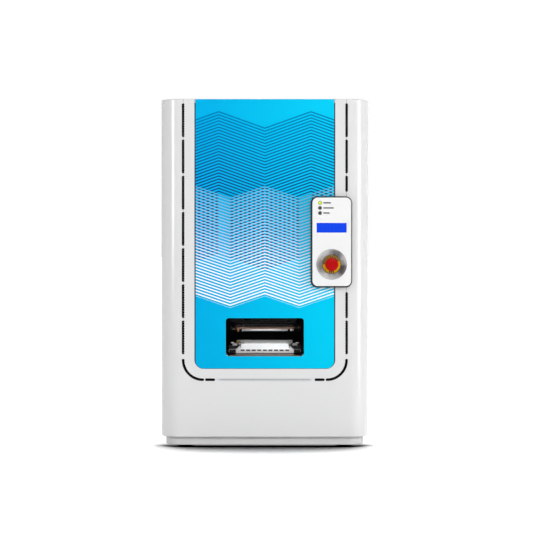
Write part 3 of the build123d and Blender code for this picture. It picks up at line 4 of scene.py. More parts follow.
import bmesh
import bpy
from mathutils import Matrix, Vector

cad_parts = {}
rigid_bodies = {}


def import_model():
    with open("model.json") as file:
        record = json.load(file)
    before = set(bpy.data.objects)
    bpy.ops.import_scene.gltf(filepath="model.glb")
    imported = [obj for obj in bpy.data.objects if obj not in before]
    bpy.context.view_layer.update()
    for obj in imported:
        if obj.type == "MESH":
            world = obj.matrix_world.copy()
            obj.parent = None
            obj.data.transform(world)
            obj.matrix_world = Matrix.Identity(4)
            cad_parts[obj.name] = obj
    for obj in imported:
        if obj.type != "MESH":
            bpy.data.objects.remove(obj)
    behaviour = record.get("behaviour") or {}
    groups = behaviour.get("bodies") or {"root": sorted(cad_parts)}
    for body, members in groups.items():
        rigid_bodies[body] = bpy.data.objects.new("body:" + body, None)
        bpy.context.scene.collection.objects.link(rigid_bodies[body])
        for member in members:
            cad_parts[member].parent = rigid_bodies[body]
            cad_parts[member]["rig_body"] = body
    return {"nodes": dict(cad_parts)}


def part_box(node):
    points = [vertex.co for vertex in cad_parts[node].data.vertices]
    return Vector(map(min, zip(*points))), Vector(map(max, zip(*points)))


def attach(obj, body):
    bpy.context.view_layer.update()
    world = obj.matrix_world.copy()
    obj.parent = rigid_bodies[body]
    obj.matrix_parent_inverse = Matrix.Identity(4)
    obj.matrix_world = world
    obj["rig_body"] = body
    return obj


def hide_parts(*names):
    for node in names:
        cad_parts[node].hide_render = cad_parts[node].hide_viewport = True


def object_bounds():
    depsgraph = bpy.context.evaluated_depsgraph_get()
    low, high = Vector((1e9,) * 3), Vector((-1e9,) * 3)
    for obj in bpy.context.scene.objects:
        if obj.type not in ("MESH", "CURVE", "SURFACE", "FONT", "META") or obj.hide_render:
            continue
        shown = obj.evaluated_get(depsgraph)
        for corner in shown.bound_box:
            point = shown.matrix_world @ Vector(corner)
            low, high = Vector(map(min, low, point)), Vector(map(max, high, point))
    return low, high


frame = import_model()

cad_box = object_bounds()
bpy.ops.object.select_all(action="DESELECT")

# ---------------------------------------------------------------- studio
# A white floor that runs to the horizon, with the cabinet's shadow painted into its colour,
# soft lamps in front and a white surround that gloss and glass reflect.
front_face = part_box("front_fascia")[0].y
view_distance = 4.0
frame_pixels = 533
focal_pixels = 1569
sensor_width = 36.0
horizon_pixel = 238.0
middle_pixel = 264.85


def srgb(text):
    """A colour written as six hex digits, as Blender's linear red, green, blue and alpha."""
    levels = [int(text[n:n + 2], 16) / 255 for n in (0, 2, 4)]
    linear = [v / 12.92 if v <= 0.04045 else ((v + 0.055) / 1.055) ** 2.4 for v in levels]
    return (*linear, 1.0)


def add(owner, kind, values=None, links=None, into=(), **settings):
    """Adds one node to a material or world: its settings, its input values, what feeds it,
    given as input: (node, output), and what it feeds, given as (output, node, input)."""
    tree = owner.node_tree
    made = tree.nodes.new(kind)
    for name, value in settings.items():
        setattr(made, name, value)
    for name, value in (values or {}).items():
        made.inputs[name].default_value = value
    for name, (source, output) in (links or {}).items():
        tree.links.new(source.outputs[output], made.inputs[name])
    for output, target, name in into:
        tree.links.new(made.outputs[output], target.inputs[name])
    return made


def calc(owner, operation, *sources, **more):
    """Adds one maths node, fed in turn by each source: a number, or (node, output)."""
    values = {n: source for n, source in enumerate(sources) if not isinstance(source, tuple)}
    links = {n: source for n, source in enumerate(sources) if isinstance(source, tuple)}
    return add(owner, "ShaderNodeMath", values, links, operation=operation, **more)


bpy.ops.object.camera_add(
    location=(0, front_face - view_distance, 0), rotation=(math.radians(90), 0, 0)
)
camera = bpy.context.object
camera.name = "camera"
camera.location.z = 0.533
camera.data.sensor_width = sensor_width
camera.data.lens = focal_pixels / frame_pixels * sensor_width
camera.data.shift_x = (frame_pixels / 2 - middle_pixel) / frame_pixels
camera.data.shift_y = (horizon_pixel - frame_pixels / 2) / frame_pixels
camera.data.clip_end = 200
bpy.context.scene.camera = camera
bpy.context.scene.view_settings.view_transform = "Standard"

surround = bpy.data.worlds.new("studio_surround")
bpy.context.scene.world = surround
surround.use_nodes = True
ambient_left = 0.05
ambient_right = 0.36
studio_gloss = 0.42
rays = add(surround, "ShaderNodeLightPath")
direction = add(surround, "ShaderNodeTexCoord")
direction_axes = add(surround, "ShaderNodeSeparateXYZ", links={0: (direction, "Generated")})
# gloss sees the white backdrop behind the cabinet and a dimmer studio in front of it
facing = add(
    surround, "ShaderNodeMapRange",
    {"From Min": -0.4, "From Max": 0.3, "To Min": studio_gloss, "To Max": 1.0},
    {"Value": (direction_axes, "Y")},
)
seen_in_gloss = calc(surround, "MULTIPLY", (rays, "Is Glossy Ray"), (facing, 0))
sees_camera = calc(surround, "MAXIMUM", (rays, "Is Camera Ray"), (seen_in_gloss, 0))
sees_white = calc(surround, "MAXIMUM", (sees_camera, 0), (rays, "Is Transmission Ray"))
# the right of the studio is brighter than its left
ambient = add(
    surround, "ShaderNodeMapRange",
    {"From Min": -1.0, "From Max": 1.0, "To Min": ambient_left, "To Max": ambient_right},
    {"Value": (direction_axes, "X")},
)
world_level = calc(surround, "MAXIMUM", (sees_white, 0), (ambient, 0))
backdrop = surround.node_tree.nodes["Background"]
backdrop.inputs["Color"].default_value = srgb("FFFFFF")
surround.node_tree.links.new(world_level.outputs[0], backdrop.inputs["Strength"])

floor_half = 40.0
bpy.ops.mesh.primitive_plane_add(size=2 * floor_half, location=(0, 0, 0))
floor = bpy.context.object
floor.name = "studio_floor"
floor_paint = bpy.data.materials.new("white_floor_painted_shadow")
floor_paint.use_nodes = True
floor_shader = floor_paint.node_tree.nodes["Principled BSDF"]
floor_shader.inputs["Roughness"].default_value = 0.7
shadow_reach = 0.3
floor_bounce = 0.6
shadow_samples = 12
openness = add(
    floor_paint, "ShaderNodeAmbientOcclusion", {"Distance": shadow_reach},
    samples=shadow_samples,
)
# painted shadow: the floor's colour darkens where half of the sky is hidden right at the
# plinth, and not at all far away
darkness = add(
    floor_paint, "ShaderNodeMapRange",
    {"From Min": 0.5, "From Max": 1.0, "To Min": 1.06, "To Max": 0.0},
    {"Value": (openness, "AO")}, interpolation_type="SMOOTHSTEP",
)
# the painted shadow is made faint past these lines beside the cabinet, and along its sides away
# from the ends
half_width = (cad_box[1].x - cad_box[0].x) / 2
floor_place = add(floor_paint, "ShaderNodeTexCoord")
floor_axes = add(floor_paint, "ShaderNodeSeparateXYZ", links={0: (floor_place, "Object")})
sideways = calc(floor_paint, "ABSOLUTE", (floor_axes, "X"))
shadow_side_fade = add(
    floor_paint, "ShaderNodeMapRange",
    {"From Min": half_width, "From Max": half_width + 0.05, "To Min": 1.0, "To Max": 0.08},
    {"Value": (sideways, 0)}, interpolation_type="SMOOTHSTEP",
)
half_depth = (cad_box[1].y - cad_box[0].y) / 2
lengthways = calc(floor_paint, "ABSOLUTE", (floor_axes, "Y"))
end_fade = add(
    floor_paint, "ShaderNodeMapRange",
    {"From Min": half_depth - 0.12, "From Max": half_depth - 0.05, "To Min": 0.2,
     "To Max": 1.0},
    {"Value": (lengthways, 0)}, interpolation_type="SMOOTHSTEP",
)
side_shadow = calc(floor_paint, "MULTIPLY", (shadow_side_fade, 0), (end_fade, 0))
kept_darkness = calc(floor_paint, "MULTIPLY", (darkness, 0), (side_shadow, 0))
shade = calc(floor_paint, "SUBTRACT", 1.0, (kept_darkness, 0))
floor_rays = add(floor_paint, "ShaderNodeLightPath")
floor_camera = calc(
    floor_paint, "MAXIMUM", (floor_rays, "Is Camera Ray"), (floor_rays, "Is Glossy Ray")
)
floor_white = calc(
    floor_paint, "MAXIMUM", (floor_camera, 0), (floor_rays, "Is Transmission Ray")
)
# the floor bounces light up at the cabinet evenly; only the eye sees the shadow
not_seen = calc(floor_paint, "SUBTRACT", 1.0, (floor_white, 0))
bounced = calc(floor_paint, "MULTIPLY", (not_seen, 0), floor_bounce)
calc(
    floor_paint, "MAXIMUM", (shade, 0), (bounced, 0), into=[(0, floor_shader, "Base Color")]
)
floor_shader.inputs["Emission Color"].default_value = srgb("FFFFFF")
calc(
    floor_paint, "MULTIPLY", (shade, 0), (floor_white, 0),
    into=[(0, floor_shader, "Emission Strength")],
)
floor.data.materials.append(floor_paint)

middle = (0, 0, 0.5)
lamp_plan = {
    # name: place, what it looks at, width, height, watts
    "key_lamp": ((2.36, -1.41, 0.8), middle, 0.5, 1.7, 26),
    "strip_lamp": ((-1.86, -1.9, 0.98), middle, 0.2, 1.1, 17),
    "front_lamp": ((0.6, -3.9, 2.3), middle, 1.2, 1.0, 40),
    "top_lamp": ((0.0, -0.9, 3.2), middle, 2.4, 1.6, 10),
    "rear_lamp": ((0.8, 3.6, 2.2), middle, 2.0, 2.0, 40),
    # a strip under the port's upper edge, which lights the plate and its nest
    "port_lamp": (
        (0, front_face + 0.014, 0.3235), (0, front_face + 0.12, 0.24), 0.17, 0.008, 0.11
    ),
}
for name, (place, target, width, height, watts) in lamp_plan.items():
    aim = Vector(target) - Vector(place)
    bpy.ops.object.light_add(
        type="AREA", location=place, rotation=aim.to_track_quat("-Z", "Y").to_euler()
    )
    lamp = bpy.context.object
    lamp.name = name
    lamp.data.shape = "RECTANGLE"
    lamp.data.size = width
    lamp.data.size_y = height
    lamp.data.energy = watts

# ---------------------------------------------------------------- front fascia and pod housing
# The wrap-round front and the control pod's housing are white ABS, moulded in a satin
# tool: almost smooth, with a very fine grain and soft highlights on the corner curves.
abs_grain = 0.0012
cad_edge = 0.0004


def surface(name, colour, roughness, metallic=0.0):
    """A new material and its shader, with a plain colour to start from."""
    material = bpy.data.materials.new(name)
    material.use_nodes = True
    shader = material.node_tree.nodes["Principled BSDF"]
    shader.inputs["Base Color"].default_value = srgb(colour)
    shader.inputs["Roughness"].default_value = roughness
    shader.inputs["Metallic"].default_value = metallic
    return material, shader


def grain(material, shader, size, depth, strength, detail=2.0, stretch=(1, 1, 1)):
    """A fine noise in the surface's height; size and depth are in metres."""
    place = add(material, "ShaderNodeTexCoord")
    spread = add(material, "ShaderNodeMapping", {"Scale": stretch}, {0: (place, "Object")})
    noise = add(
        material, "ShaderNodeTexNoise", {"Scale": 1 / size, "Detail": detail},
        {"Vector": (spread, 0)},
    )
    add(
        material, "ShaderNodeBump", {"Strength": strength, "Distance": depth},
        {"Height": (noise, "Fac")}, into=[("Normal", shader, "Normal")],
    )
    return noise


def set_stops(ramp_node, stops):
    """Gives a colour ramp its stops, each a position and a colour."""
    elements = ramp_node.color_ramp.elements
    for element, (position, colour) in zip(elements, (stops[0], stops[-1])):
        element.position = position
        element.color = srgb(colour)
    for position, colour in stops[1:-1]:
        elements.new(position).color = srgb(colour)


def tint(material, shader, noise, low, high, start=0.35, end=0.65):
    """Lets the colour drift between two close shades along a noise."""
    ramp_node = add(
        material, "ShaderNodeValToRGB", links={0: (noise, "Fac")},
        into=[("Color", shader, "Base Color")],
    )
    set_stops(ramp_node, ((start, low), (end, high)))


def from_cad(node, material, edge=cad_edge, angle=32):
    """A copy of a CAD node with merged faces and broken edges, which stands in for it."""
    source = frame["nodes"][node]
    piece = bpy.data.objects.new(f"{node}_finished", source.data.copy())
    bpy.context.scene.collection.objects.link(piece)
    bpy.ops.object.select_all(action="DESELECT")
    piece.select_set(True)
    bpy.context.view_layer.objects.active = piece
    bpy.ops.object.mode_set(mode="EDIT")
    bpy.ops.mesh.select_all(action="SELECT")
    bpy.ops.mesh.remove_doubles(threshold=0.00002)
    bpy.ops.mesh.dissolve_limited(angle_limit=math.radians(0.4))
    bpy.ops.object.mode_set(mode="OBJECT")
    if edge:
        break_edges(piece, edge)
    bpy.ops.object.shade_smooth_by_angle(angle=math.radians(angle))
    even = piece.modifiers.new("even_shading", "WEIGHTED_NORMAL")
    even.keep_sharp = True
    bpy.ops.object.modifier_apply(modifier=even.name)
    piece.data.materials.clear()
    piece.data.materials.append(material)
    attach(piece, source["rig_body"])
    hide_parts(node)
    return piece


def break_edges(piece, width, segments=2):
    """Rounds the piece's sharp edges and applies that."""
    bevel = piece.modifiers.new("broken_edges", "BEVEL")
    bevel.width = width
    bevel.segments = segments
    bevel.limit_method = "ANGLE"
    bevel.angle_limit = math.radians(35)
    bevel.use_clamp_overlap = True
    bpy.context.view_layer.objects.active = piece
    bpy.ops.object.modifier_apply(modifier=bevel.name)


def dress(material, *nodes):
    """Gives CAD nodes that keep their own mesh a material."""
    for node in nodes:
        frame["nodes"][node].data.materials.clear()
        frame["nodes"][node].data.materials.append(material)


# a soft broad highlight on the corner curves, and no visible texture
white_abs, abs_shader = surface("moulded_white_abs", "E4E4E3", 0.25)
abs_shader.inputs["Specular IOR Level"].default_value = 0.7
abs_noise = grain(white_abs, abs_shader, abs_grain, 0.00004, 0.25)
from_cad("front_fascia", white_abs, edge=0.0005)
# the joint between the fascia's middle frame and its two cheeks runs up the vent lines
joint_x = 0.2083
joint_half = 0.0005
joint_foot = 0.2364
abs_place = add(white_abs, "ShaderNodeTexCoord")
abs_axes = add(white_abs, "ShaderNodeSeparateXYZ", links={0: (abs_place, "Object")})
abs_side = calc(white_abs, "ABSOLUTE", (abs_axes, "X"))
near_joint = calc(white_abs, "COMPARE", (abs_side, 0), joint_x, joint_half)
above_foot = calc(white_abs, "GREATER_THAN", (abs_axes, "Z"), joint_foot)
in_joint = calc(white_abs, "MULTIPLY", (near_joint, 0), (above_foot, 0))
abs_drift = add(
    white_abs, "ShaderNodeMix", {6: srgb("E1E1E1"), 7: srgb("E7E7E6")},
    {0: (abs_noise, "Fac")}, data_type="RGBA",
)
add(
    white_abs, "ShaderNodeMix", {7: srgb("9A9A9A")}, {0: (in_joint, 0), 6: (abs_drift, 2)},
    into=[(2, abs_shader, "Base Color")], data_type="RGBA",
)

# The pod has a lighter cover, with a black rubber edge moulded on all round; the black is drawn
# wider at the left and bottom as painted shade.
pod_low, pod_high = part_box("pod_housing")
pod_middle = (pod_low + pod_high) / 2
pod_size = pod_high - pod_low
pod_radius = 0.016
pod_edge = 0.0027
# a brighter white than the front, with a thin matt black outline, wider at the left and bottom
# as painted shade
pod_cover, pod_shader = surface("white_abs_rubber_edge_painted_shade", "F4F4F4", 0.3)
grain(pod_cover, pod_shader, abs_grain, 0.00004, 0.25)
pod_place = add(pod_cover, "ShaderNodeTexCoord")
# painted shade: the outline's middle is moved right and up, so the black is wider at the left
# and bottom
pod_shade_offset = add(
    pod_cover, "ShaderNodeVectorMath", {1: (pod_middle.x + 0.0004, 0, pod_middle.z + 0.0005)},
    {0: (pod_place, "Object")}, operation="SUBTRACT",
)
pod_sides = add(
    pod_cover, "ShaderNodeVectorMath", links={0: (pod_shade_offset, 0)}, operation="ABSOLUTE"
)
pod_past = add(
    pod_cover, "ShaderNodeVectorMath",
    {1: (pod_size.x / 2 - pod_radius, 1, pod_size.z / 2 - pod_radius)},
    {0: (pod_sides, 0)}, operation="SUBTRACT",
)
pod_corner = add(
    pod_cover, "ShaderNodeVectorMath", {1: (0, 0, 0)}, {0: (pod_past, 0)},
    operation="MAXIMUM",
)
pod_reach = add(
    pod_cover, "ShaderNodeVectorMath", links={0: (pod_corner, 0)}, operation="LENGTH"
)
on_edge = calc(pod_cover, "GREATER_THAN", (pod_reach, "Value"), pod_radius - pod_edge)
add(
    pod_cover, "ShaderNodeMix", {6: srgb("F4F4F4"), 7: srgb("0C0C0D")}, {0: (on_edge, 0)},
    into=[(2, pod_shader, "Base Color")], data_type="RGBA",
)
add(
    pod_cover, "ShaderNodeMapRange", {"To Min": 0.3, "To Max": 0.6}, {"Value": (on_edge, 0)},
    into=[("Result", pod_shader, "Roughness")],
)
from_cad("pod_housing", pod_cover, edge=0.0003)

# ---------------------------------------------------------------- plinth, sides, rear and cover
# Folded steel sheet, powder coated white. The coat has a faint orange peel about
# 1.5 mm across, a little duller than the moulded front.
orange_peel = 0.0015
# a dull white whose highlights break up very slightly
powder_coat, powder_shader = surface("white_powder_coated_steel", "DFE0E2", 0.44)
powder_noise = grain(powder_coat, powder_shader, orange_peel, 0.00006, 0.35, detail=1.0)
tint(powder_coat, powder_shader, powder_noise, "DDDDDC", "E3E3E2")
for node in ("plinth", "left_side_panel", "right_side_panel", "rear_panel", "top_cover"):
    from_cad(node, powder_coat, edge=0.0004)

# ---------------------------------------------------------------- graphic panel
# A flat acrylic front, printed from behind: cyan, lightened to the right as painted light,
# and a plain band of stacked chevron lines, thin navy above and white below, under the gloss.
panel_low, panel_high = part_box("graphic_panel")
line_pitch = 0.0078
blue_band = {"zig": 0.1177, "rise": 0.042, "low": 0.45, "high": 0.815, "share": 0.44}
white_band = {"zig": 0.0882, "rise": -0.030, "low": 0.385, "high": 0.665, "share": 0.42}
blue_stops = ((0.0, "0A5FA8"), (0.25, "14296E"), (0.55, "0F2F7C"), (1.0, "0077B4"))
white_stops = ((0.0, "FFFFFF"), (0.3, "F4FBFF"), (0.65, "A9CFEE"), (1.0, "6FB8DE"))
# saturated print under an even face with hardly any glare
printed_acrylic, panel_shader = surface("printed_acrylic_panel", "00B8EE", 0.3)
panel_shader.inputs["Specular IOR Level"].default_value = 0.05
place = add(printed_acrylic, "ShaderNodeTexCoord")
axes = add(printed_acrylic, "ShaderNodeSeparateXYZ", links={0: (place, "Object")})
# painted light: the cyan lightens from left to right across the panel
cyan_painted_light = add(printed_acrylic, "ShaderNodeValToRGB")
across = add(
    printed_acrylic, "ShaderNodeMapRange",
    {"From Min": panel_low.x, "From Max": panel_high.x}, {"Value": (axes, "X")},
    into=[("Result", cyan_painted_light, "Fac")],
)
set_stops(cyan_painted_light, ((0.1, "00B4EA"), (1.0, "00D2F9")))


def zigzag_lines(band, stops):
    """Where the lines of one family lie, and their colour up the band."""
    zig = calc(printed_acrylic, "PINGPONG", (axes, "X"), band["zig"])
    lift = calc(printed_acrylic, "MULTIPLY", (zig, 0), band["rise"] / band["zig"])
    level = calc(printed_acrylic, "SUBTRACT", (axes, "Z"), (lift, 0))
    row = calc(printed_acrylic, "DIVIDE", (level, 0), line_pitch)
    place_in_row = calc(printed_acrylic, "FRACT", (row, 0))
    in_line = calc(printed_acrylic, "LESS_THAN", (place_in_row, 0), band["share"])
    above_low = calc(printed_acrylic, "GREATER_THAN", (level, 0), band["low"])
    below_high = calc(printed_acrylic, "LESS_THAN", (level, 0), band["high"])
    inside = calc(printed_acrylic, "MULTIPLY", (above_low, 0), (below_high, 0))
    lines = calc(printed_acrylic, "MULTIPLY", (inside, 0), (in_line, 0))
    up_band = add(
        printed_acrylic, "ShaderNodeMapRange",
        {"From Min": band["low"], "From Max": band["high"]}, {"Value": (level, 0)},
    )
    colour = add(printed_acrylic, "ShaderNodeValToRGB", links={0: (up_band, 0)})
    set_stops(colour, stops)
    return lines, colour


blue_lines, blue_colour = zigzag_lines(blue_band, blue_stops)
white_lines, white_colour = zigzag_lines(white_band, white_stops)
blue_print = add(
    printed_acrylic, "ShaderNodeMix",
    links={0: (blue_lines, 0), 6: (cyan_painted_light, "Color"), 7: (blue_colour, "Color")},
    data_type="RGBA",
)
add(
    printed_acrylic, "ShaderNodeMix",
    links={0: (white_lines, 0), 6: (blue_print, 2), 7: (white_colour, "Color")},
    into=[(2, panel_shader, "Base Color")], data_type="RGBA",
)
from_cad("graphic_panel", printed_acrylic, edge=0.0004)

# ---------------------------------------------------------------- panel carrier and brackets
# The sheet behind the graphic panel is steel painted navy, near black as painted shade, so it
# shows as a dark line down both sides of the panel. Zinc plated angles hold it to the frame
# posts.
# a nearly black blue line: navy, darkened as painted shade in the gap beside the panel
navy_paint_gap_shade, navy_shader = surface("navy_steel_painted_gap_shade", "12183A", 0.5)
grain(navy_paint_gap_shade, navy_shader, 0.0015, 0.00005, 0.3)
dress(navy_paint_gap_shade, "panel_carrier")
# a bright grey metal, faintly clouded
zinc_plate, zinc_shader = surface("zinc_plated_steel", "A9ACAE", 0.38, 1.0)
zinc_noise = grain(zinc_plate, zinc_shader, 0.012, 0.00003, 0.2, detail=4.0)
tint(zinc_plate, zinc_shader, zinc_noise, "9FA2A5", "B4B7B8")
dress(zinc_plate, "panel_brackets", "base_plate")

# ---------------------------------------------------------------- ventilation slots
# Black woven screens are glued behind the slots of the fascia. The slots' inner edges
# are moulded with a row of small teeth, and a grey perforated strip fills the lowest one.
tooth_pitch = 0.00635
tooth_size = (0.0013, 0.0034, 0.0032)
# a dead black behind the slots
black_screen, screen_shader = surface("black_woven_screen", "030304", 0.85)
screen_shader.inputs["Specular IOR Level"].default_value = 0.15
screen_place = add(black_screen, "ShaderNodeTexCoord")
weave = add(
    black_screen, "ShaderNodeTexChecker", {"Scale": 1 / 0.0012}, {0: (screen_place, "Object")}
)
add(
    black_screen, "ShaderNodeBump", {"Strength": 0.6, "Distance": 0.0003},
    {"Height": (weave, "Fac")}, into=[("Normal", screen_shader, "Normal")],
)
dress(black_screen, "vent_screens")
# a grey just darker than the front round it
strip_plastic, strip_shader = surface("light_grey_strip_plastic", "D2D3D6", 0.5)
grain(strip_plastic, strip_shader, 0.001, 0.00004, 0.3)
dress(strip_plastic, "lower_vent_strip")


def begin(kind, place, spread=(1, 1, 1), turn=(0, 0, 0), **shape):
    """Adds a primitive with its place and size in its mesh, and opens it for editing."""
    bpy.ops.object.select_all(action="DESELECT")
    getattr(bpy.ops.mesh, f"primitive_{kind}_add")(location=place, rotation=turn, **shape)
    bpy.context.object.scale = spread
    bpy.ops.object.transform_apply(location=True, rotation=True, scale=True)
    bpy.ops.object.mode_set(mode="EDIT")
    bpy.ops.mesh.select_mode(type="FACE")
    return bpy.context.object


def pick(piece, test):
    """In edit mode, selects the faces whose centre and normal pass the test."""
    mesh = bmesh.from_edit_mesh(piece.data)
    for face in mesh.faces:
        face.select_set(False)
    for face in mesh.faces:
        if test(face.calc_center_median(), face.normal):
            face.select_set(True)
    bmesh.update_edit_mesh(piece.data)


def complete(piece, name, body, material, edge=0.0, angle=35):
    """Closes a piece's editing: breaks its edges, smooths, names, finishes and mounts it."""
    bpy.ops.object.mode_set(mode="OBJECT")
    if edge:
        break_edges(piece, edge)
    bpy.ops.object.select_all(action="DESELECT")
    piece.select_set(True)
    bpy.context.view_layer.objects.active = piece
    bpy.ops.object.shade_smooth_by_angle(angle=math.radians(angle))
    piece.name = name
    piece.data.materials.append(material)
    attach(piece, body)
    return piece


def repeat(piece, name, moves):
    """Copies a finished piece, each copy with its own mesh, by each of the moves."""
    made = []
    for n, move in enumerate(moves):
        bpy.ops.object.select_all(action="DESELECT")
        piece.select_set(True)
        bpy.context.view_layer.objects.active = piece
        bpy.ops.object.duplicate(linked=False)
        copy = bpy.context.object
        bpy.ops.object.mode_set(mode="EDIT")
        bpy.ops.mesh.select_all(action="SELECT")
        bpy.ops.transform.translate(value=move)
        bpy.ops.object.mode_set(mode="OBJECT")
        copy.name = f"{name}_{n + 2}"
        made.append(copy)
    return made


def row_of(piece, count, step):
    """Turns the open piece into a row of copies, count long, each moved on by step."""
    array = piece.modifiers.new("row", "ARRAY")
    array.count = count
    array.use_relative_offset = False
    array.use_constant_offset = True
    array.constant_offset_displace = step
    bpy.ops.object.modifier_apply(modifier=array.name)


# Sizes of the slots, as moulded: centre lines, length and bridges.
slot_x = joint_x
slot_half = 0.00345
slot_top = 0.8764
slot_bottom = joint_foot
slot_count = 7
slot_bridge = 0.0061
slot_length = (slot_top - slot_bottom - (slot_count - 1) * slot_bridge) / slot_count
pod_clear = (pod_low.z - 0.013, pod_high.z + 0.013)
for side, side_name in ((-1, "left"), (1, "right")):
    for n in range(slot_count):
        top = slot_top - n * (slot_length + slot_bridge)
        low = top - slot_length
        if side > 0:
            if low < pod_clear[1] < top:
                low = pod_clear[1]
            if low < pod_clear[0] < top:
                top = pod_clear[0]
            if low >= pod_clear[0] and top <= pod_clear[1]:
                continue
        usable = top - low - 2 * slot_half
        if usable < tooth_pitch:
            continue
        teeth = int(usable / tooth_pitch) + 1
        first = (top + low - (teeth - 1) * tooth_pitch) / 2
        inner_edge = side * (slot_x - slot_half + tooth_size[0] / 2 - 0.0001)
        tooth = begin(
            "cube", (inner_edge, front_face + 0.0006 + tooth_size[2] / 2, first),
            (tooth_size[0], tooth_size[2], tooth_size[1]), size=1,
        )
        pick(tooth, lambda centre, normal: normal.x * side > 0.9)
        bpy.ops.transform.resize(value=(1, 1, 0.62))
        bpy.ops.object.mode_set(mode="OBJECT")
        row_of(tooth, teeth, (0, 0, tooth_pitch))
        complete(tooth, f"{side_name}_slot_teeth_{n + 1}", "cabinet", white_abs)

# ---------------------------------------------------------------- plate port
# A black moulded liner frames the port. Its floor is a bronze anodised sill, which
# reaches back to meet the stages.
# a black that keeps the port dark
black_plastic, black_shader = surface("matt_black_moulded_plastic", "060607", 0.55)
black_shader.inputs["Specular IOR Level"].default_value = 0.25
grain(black_plastic, black_shader, 0.0009, 0.00004, 0.4)
dress(black_plastic, "port_liner", "exhaust_fan_housing", "exhaust_fan_rotor", "power_rocker",
      "estop_contact_block", "motor_pulley")
# a brown metal with long fine grinding lines
bronze, bronze_shader = surface("bronze_anodised_aluminium", "7A5F50", 0.4, 0.8)
bronze_noise = grain(bronze, bronze_shader, 0.0006, 0.00002, 0.3, stretch=(0.05, 1, 1))
tint(bronze, bronze_shader, bronze_noise, "6E5444", "866A5A")
from_cad("port_sill", bronze, edge=0.0003)
# bright stops close the sill's two ends
# two bright specks
stop_metal, stop_shader = surface("satin_nickel_sill_stop", "DADADA", 0.3, 0.5)
grain(stop_metal, stop_shader, 0.0006, 0.00002, 0.3)
sill_stop_x = 0.0965
sill_stop_z = 0.2336
sill_stop_size = (0.0040, 0.005, 0.0020)
for side, side_name in ((-1, "left"), (1, "right")):
    stop = begin(
        "cube", (side * sill_stop_x, front_face + 0.0038, sill_stop_z), sill_stop_size, size=1
    )
    pick(stop, lambda centre, normal: normal.z > 0.9)
    bpy.ops.transform.resize(value=(0.7, 0.8, 1))
    complete(stop, f"{side_name}_sill_stop", "cabinet", stop_metal, edge=0.0003)

# ---------------------------------------------------------------- pod: gasket, display, lamps
# A black rubber gasket seals the pod to the front. The display is a backlit blue
# character module behind glass, and the lamps are small domed lenses.
# a matt black without highlights
rubber, rubber_shader = surface("black_epdm_rubber", "0C0C0D", 0.62)
grain(rubber, rubber_shader, 0.0008, 0.00005, 0.5)
gasket_proud = 0.0014
gasket_depth = 0.0035
gasket_width = 0.009
gasket = begin(
    "cube", (pod_middle.x, front_face - gasket_depth / 2 - 0.0001, pod_middle.z),
    (pod_size.x + 2 * gasket_proud, gasket_depth, pod_size.z + 2 * gasket_proud), size=1,
)
bpy.ops.mesh.select_mode(type="EDGE")
bpy.ops.mesh.select_all(action="DESELECT")
edges = bmesh.from_edit_mesh(gasket.data)
for edge in edges.edges:
    run = edge.verts[1].co - edge.verts[0].co
    edge.select_set(abs(run.y) > 0.5 * gasket_depth)
bmesh.update_edit_mesh(gasket.data)
bpy.ops.mesh.bevel(offset=pod_radius + gasket_proud, segments=10)
pick(gasket, lambda centre, normal: abs(normal.y) > 0.9)
bpy.ops.mesh.inset(thickness=gasket_width)
bpy.ops.mesh.bridge_edge_loops()
complete(gasket, "pod_gasket", "cabinet", rubber, edge=0.0006)

# an even blue glow, with a faint grid of character cells
display_glass, display_shader = surface("backlit_blue_display", "02060F", 0.16)
display_shader.inputs["Specular IOR Level"].default_value = 0.15
display_shader.inputs["Emission Strength"].default_value = 1.0
cell_width = 0.00355
cell_height = 0.0056
display_place = add(display_glass, "ShaderNodeTexCoord")
display_axes = add(display_glass, "ShaderNodeSeparateXYZ", links={0: (display_place, "Object")})
display_flat = add(
    display_glass, "ShaderNodeCombineXYZ",
    links={0: (display_axes, "X"), 1: (display_axes, "Z")},
)
add(
    display_glass, "ShaderNodeTexBrick",
    {"Color1": srgb("0043EE"), "Color2": srgb("003FE6"), "Mortar": srgb("0A4CF6"),
     "Scale": 1.0, "Mortar Size": 0.0004, "Brick Width": cell_width, "Row Height": cell_height},
    {0: (display_flat, 0)}, into=[("Color", display_shader, "Emission Color")], offset=0.0,
)
dress(display_glass, "display_module")

# a yellow green dot that glows
lit_lens, lit_shader = surface("lit_green_lens", "B7D800", 0.25)
lit_shader.inputs["Emission Color"].default_value = srgb("C6E400")
lit_shader.inputs["Emission Strength"].default_value = 0.25
grain(lit_lens, lit_shader, 0.001, 0.00003, 0.3)
# two grey dots with a small highlight
unlit_lens, unlit_shader = surface("smoked_grey_lens", "4A4B4E", 0.2)
grain(unlit_lens, unlit_shader, 0.001, 0.00003, 0.3)
from_cad("power_lamp", lit_lens, edge=0)
from_cad("fault_lamps", unlit_lens, edge=0)
# black bezel rings round the lenses
lamp_low, lamp_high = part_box("power_lamp")
lamp_pitch = 0.0129
lamp_x = (lamp_low.x + lamp_high.x) / 2
lamp_z = (lamp_low.z + lamp_high.z) / 2
bezel = begin(
    "torus", (lamp_x, pod_low.y, lamp_z), turn=(math.radians(90), 0, 0),
    major_radius=0.0041, minor_radius=0.0006, major_segments=32, minor_segments=8,
)
pick(bezel, lambda centre, normal: normal.y < -0.7)
bpy.ops.transform.resize(value=(1, 0.2, 1))
complete(bezel, "lamp_bezel_1", "cabinet", black_plastic)
repeat(bezel, "lamp_bezel", [(0, 0, -lamp_pitch), (0, 0, -2 * lamp_pitch)])
